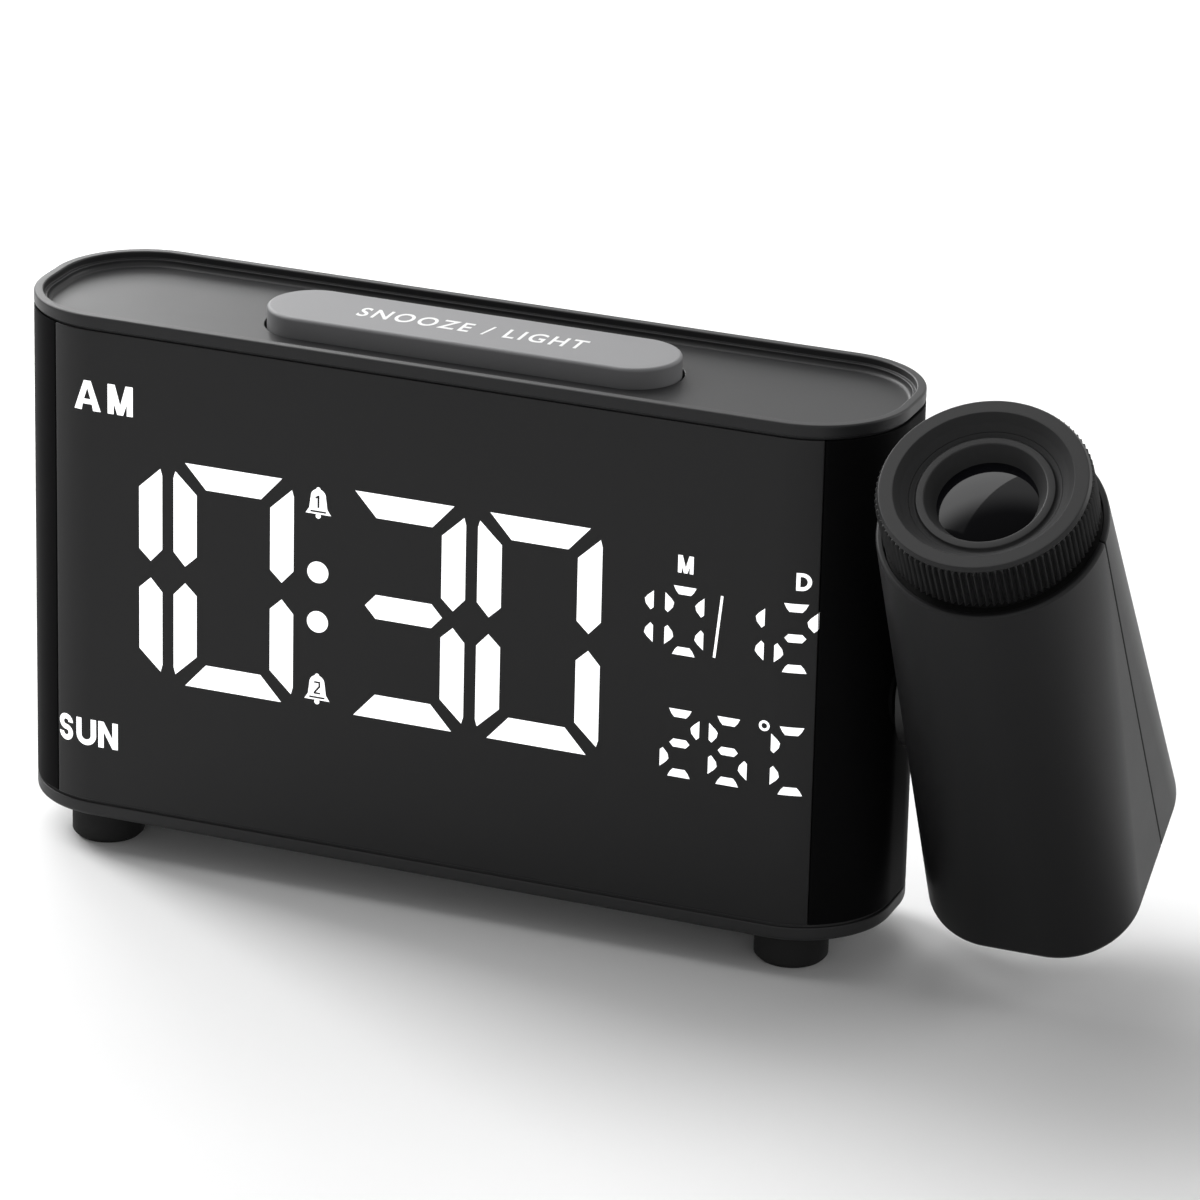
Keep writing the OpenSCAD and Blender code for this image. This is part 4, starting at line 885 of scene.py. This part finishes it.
def arm_shells():
    """Front and rear half shells with soft seam lips, a rounded foot and a recess for the neck."""
    rings = []
    for k in range(9):
        a = pi / 2 * (1 - k / 8)
        rings.append(arm_section(ARM_FOOT + ARM_END_ROUND * (1 - cos(pi / 2 - a)),
                                 ARM_END_ROUND * (1 - cos(a))))
    rings += [arm_section(z, 0) for z in (-10, 15)]
    for degrees_up in range(0, 91, 15):
        a = radians(degrees_up)
        rings.append(arm_section(ARM_TOP - ARM_EDGE_R * (1 - sin(a)), ARM_EDGE_R * (1 - cos(a))))
    outside = Shape().loft(rings)
    inside = Shape().loft([arm_section(ARM_FOOT + ARM_WALL, ARM_WALL),
                           arm_section(ARM_TOP - ARM_WALL, ARM_WALL)])
    neck = drum(RECESS_R, RECESS_Z, 60, 128)
    collar_r, collar_x = 7.1, 76.28
    axle = lathe([(AXLE_R, 70), (AXLE_R, collar_x), (collar_r, collar_x), (collar_r, 84)], 72).moved(
        FACING_RIGHT, Matrix.Translation((-ARM_X, 0, 0)))
    screws = []
    for x in (-ARM_SCREW_X, ARM_SCREW_X):
        place = Matrix.Translation((x, 0, ARM_SCREW_Z))
        screws.append(drum(2.1, ARM_SCREW_SEAT, 40, 40).moved(FACING_BACK, place))
        screws.append(drum(1.05, 0, 40, 24).moved(FACING_BACK, place))
    for name, side in (("front", -1), ("rear", 1)):
        other_half = block(-40, 40, *sorted((side * SEAM / 2, -side * 60)), -60, 80)
        cuts = [inside, neck, axle, other_half] + (screws if side > 0 else [])
        piece(f"arm_{name}_skin", outside.moved(ON_ARM), FINISH["arm_black"], "projector",
              [f"projector_{name}_shell"], [c.moved(ON_ARM) for c in cuts], edge=0.22)


def focus_ring():
    """Turned ring with a dished top and fine ribs whose upper ends are rounded like beads."""
    per_rib = 10
    count = RIBS * per_rib
    waves = [(0.5 - 0.5 * cos(2 * pi * i / per_rib)) ** 0.8 for i in range(count)]
    turns = [2 * pi * i / count for i in range(count)]
    root = RING_R - RIB_DEEP
    lip = [(15.5, 53.55, 0.05), (15.6, 53.8, 0.1), (15.25, RING_Z1, 0.15), (14.9, RING_Z1, 0)]
    crest = softened([(14.95, RING_Z0, 0), (15.65, RING_Z0, 0.1), (RING_R, RING_Z0 + 0.3, 0.1),
                      (RING_R, 53.45, 0.3)] + lip, 6)
    valley = softened([(14.95, RING_Z0, 0), (root - 0.05, RING_Z0, 0.02), (root, RING_Z0 + 0.3, 0.05),
                       (root, 53.3, 0.15)] + lip, 6)
    skin = Shape()
    rows = []
    for (cr, cz), (vr, vz) in zip(crest, valley):
        ring = []
        for a, w in zip(turns, waves):
            r, z = cr + (vr - cr) * w, cz + (vz - cz) * w
            ring.append((r * cos(a), r * sin(a), z))
        rows.append(skin.ring(ring))
    for low, high in zip(rows, rows[1:]):
        skin.band(low, high)
    core = lathe(softened([
        (15.0, RING_Z0 + 0.01, 0), (15.0, RING_Z1 - 0.005, 0.02), (13.15, RING_Z1 - 0.005, 0.2),
        (12.2, 53.15, 1.5), (11.18, 52.3, 0.05),
        (11.18, 46.5, 0), (12.1, 46.5, 0), (12.1, 50.3, 0), (13.5, 50.3, 0), (13.5, 44.1, 0),
        (14.6, 44.1, 0.15), (14.6, RING_Z0 + 0.01, 0), (15.0, RING_Z0 + 0.01, 0)]), 192, hollow=True)
    piece("focus_ring_grip", skin.joined(core).moved(ON_ARM), FINISH["ring_black"], "focus_ring",
          ["focus_ring"], sharp=50)


def lens_barrel():
    """Tube with a beaded, funnelled mouth and the domed lens behind its inner lip."""
    low, top = BARREL_TOP - BARREL_LONG, BARREL_TOP
    barrel = lathe(softened([
        (8.9, low, 0), (10.55, low, 0.1), (10.55, 47.9, 0.1), (BARREL_R, 48.2, 0.1),
        (BARREL_R, top - 0.8, 0.05), (10.45, top - 1.2, 0.3), (10.1, top - 0.75, 0.2),
        (8.95, top - 0.7, 0.3), (8.1, 51.0, 0.4), (7.35, LENS_SEAT + 0.05, 0.03), (8.9, LENS_SEAT, 0),
        (8.9, low, 0)]), 160, hollow=True)
    piece("lens_barrel_tube", barrel.moved(ON_ARM), FINISH["barrel_black"], "lens_barrel",
          ["lens_barrel"])
    ball, apex = 26.0, LENS_SEAT + 1.3
    dome = [(LENS_R, apex - 4.6)]
    steps = 24
    for k in range(steps + 1):
        r = LENS_R * (1 - k / steps) + 0.02
        dome.append((min(r, LENS_R), apex - ball + sqrt(ball ** 2 - r ** 2)))
    piece("projection_lens_dome", lathe(dome, 128).moved(ON_ARM), FINISH["clear_lens"], "lens_barrel",
          ["projection_lens"], sharp=40)


# ---------- studio ----------

def pale_floor():
    """A pale floor that takes the clock's soft shadow and runs out into the white backdrop."""
    made = Finish("pale_floor", Specular_IOR_Level=0.0, Roughness=1.0)
    tone = made.noise(40, 2)
    made.done(Base_Color=made.blend(tone, (0.94, 0.94, 0.94), (0.95, 0.95, 0.95)))
    away = made.node("ShaderNodeVectorMath", {"operation": "LENGTH"}, {0: made.place}, "Value")
    far = made.node("ShaderNodeMapRange", {"interpolation_type": "SMOOTHSTEP"},
                    {"Value": away, "From Min": 0.35, "From Max": 0.8})
    white = made.node("ShaderNodeEmission", {}, {"Color": (1, 1, 1, 1), "Strength": 1.0})
    mixed = made.node("ShaderNodeMixShader", {}, {
        0: far * made.seen_directly(), 1: Wire(made, made.shader.outputs[0]), 2: white})
    made.join(made.tree.nodes["Material Output"].inputs["Surface"], mixed)
    half = 3000
    floor = mesh_object("floor", block(-half, half, -half, half, -5, 0))
    floor.data.materials.append(made.material)


def white_surround(level):
    """White where it is seen, and a soft even light from all round."""
    world = bpy.data.worlds.new("surround")
    bpy.context.scene.world = world
    world.use_nodes = True
    made = Wiring(world.node_tree)
    background = world.node_tree.nodes["Background"]
    background.inputs["Color"].default_value = (1, 1, 1, 1)
    made.join(background.inputs["Strength"], level + (1 - level) * made.seen_directly())


def soft_lamp(name, place, aim, size, power, turn=0.0):
    """A soft box that points at a spot, turned by some degrees about that line."""
    lamp = bpy.data.lights.new(name, "AREA")
    lamp.shape = "RECTANGLE"
    lamp.size, lamp.size_y = size
    lamp.energy = power
    obj = bpy.data.objects.new(name, lamp)
    bpy.context.scene.collection.objects.link(obj)
    obj.location = place
    look = (Vector(aim) - Vector(place)).to_track_quat("-Z", "Y").to_matrix()
    obj.rotation_euler = (look @ Matrix.Rotation(radians(turn), 3, "Z")).to_euler()


def camera():
    """Looks down on the clock from the front right."""
    turn, rise, roll = 0.366918, 0.373011, 0.024479
    distance, across, above, focal_px, frame_px = 1033.34, 21.0475, 34.2808, 6627.852, 1200
    sight_z = 8.8
    back = Vector((sin(turn) * cos(rise), -cos(turn) * cos(rise), sin(rise)))
    level = Vector((cos(turn), sin(turn), 0))
    upright = back.cross(level)
    right = cos(roll) * level + sin(roll) * upright
    up = -sin(roll) * level + cos(roll) * upright
    aim = Vector((0, 0, sight_z))
    place = (distance * back + across * right + above * up + aim) * MM
    data = bpy.data.cameras.new("camera")
    data.sensor_fit = "HORIZONTAL"
    data.sensor_width = 36
    data.lens = focal_px / frame_px * data.sensor_width
    data.clip_start, data.clip_end = 0.05, 20
    obj = bpy.data.objects.new("camera", data)
    bpy.context.scene.collection.objects.link(obj)
    turned = Matrix((right, up, back)).transposed()
    obj.matrix_world = Matrix.Translation(place) @ turned.to_4x4()
    bpy.context.scene.camera = obj


finish_inner_parts()
top_cover()
base_plate()
feet()
rear_housing()
front_panel()
panel_marks()
snooze_bar()
snooze_words()
rear_buttons()
power_inlet()
usb_socket()
battery_door()
arm_shells()
focus_ring()
lens_barrel()

pale_floor()
white_surround(0.26)
soft_lamp("key", (-1.17, 0.425, 0.84), (0, 0, 0.04), (0.5, 0.5), 15)
soft_lamp("ceiling", (-0.867, 0.508, 1.3), (-0.867, 0.508, 0), (1.44, 1.7), 19, -21)
soft_lamp("back", (-0.703, 0.918, 0.517), (0, 0, 0.08), (0.4, 0.4), 3.6)
soft_lamp("side", (1.1, 0.9, 0.6), (0.09, 0, 0.05), (0.8, 0.8), 5)
soft_lamp("front", (0.7, -1.4, 0.4), (0, 0, 0.05), (1.6, 0.8), 2.5)
camera()
bpy.context.scene.view_settings.view_transform = "Standard"
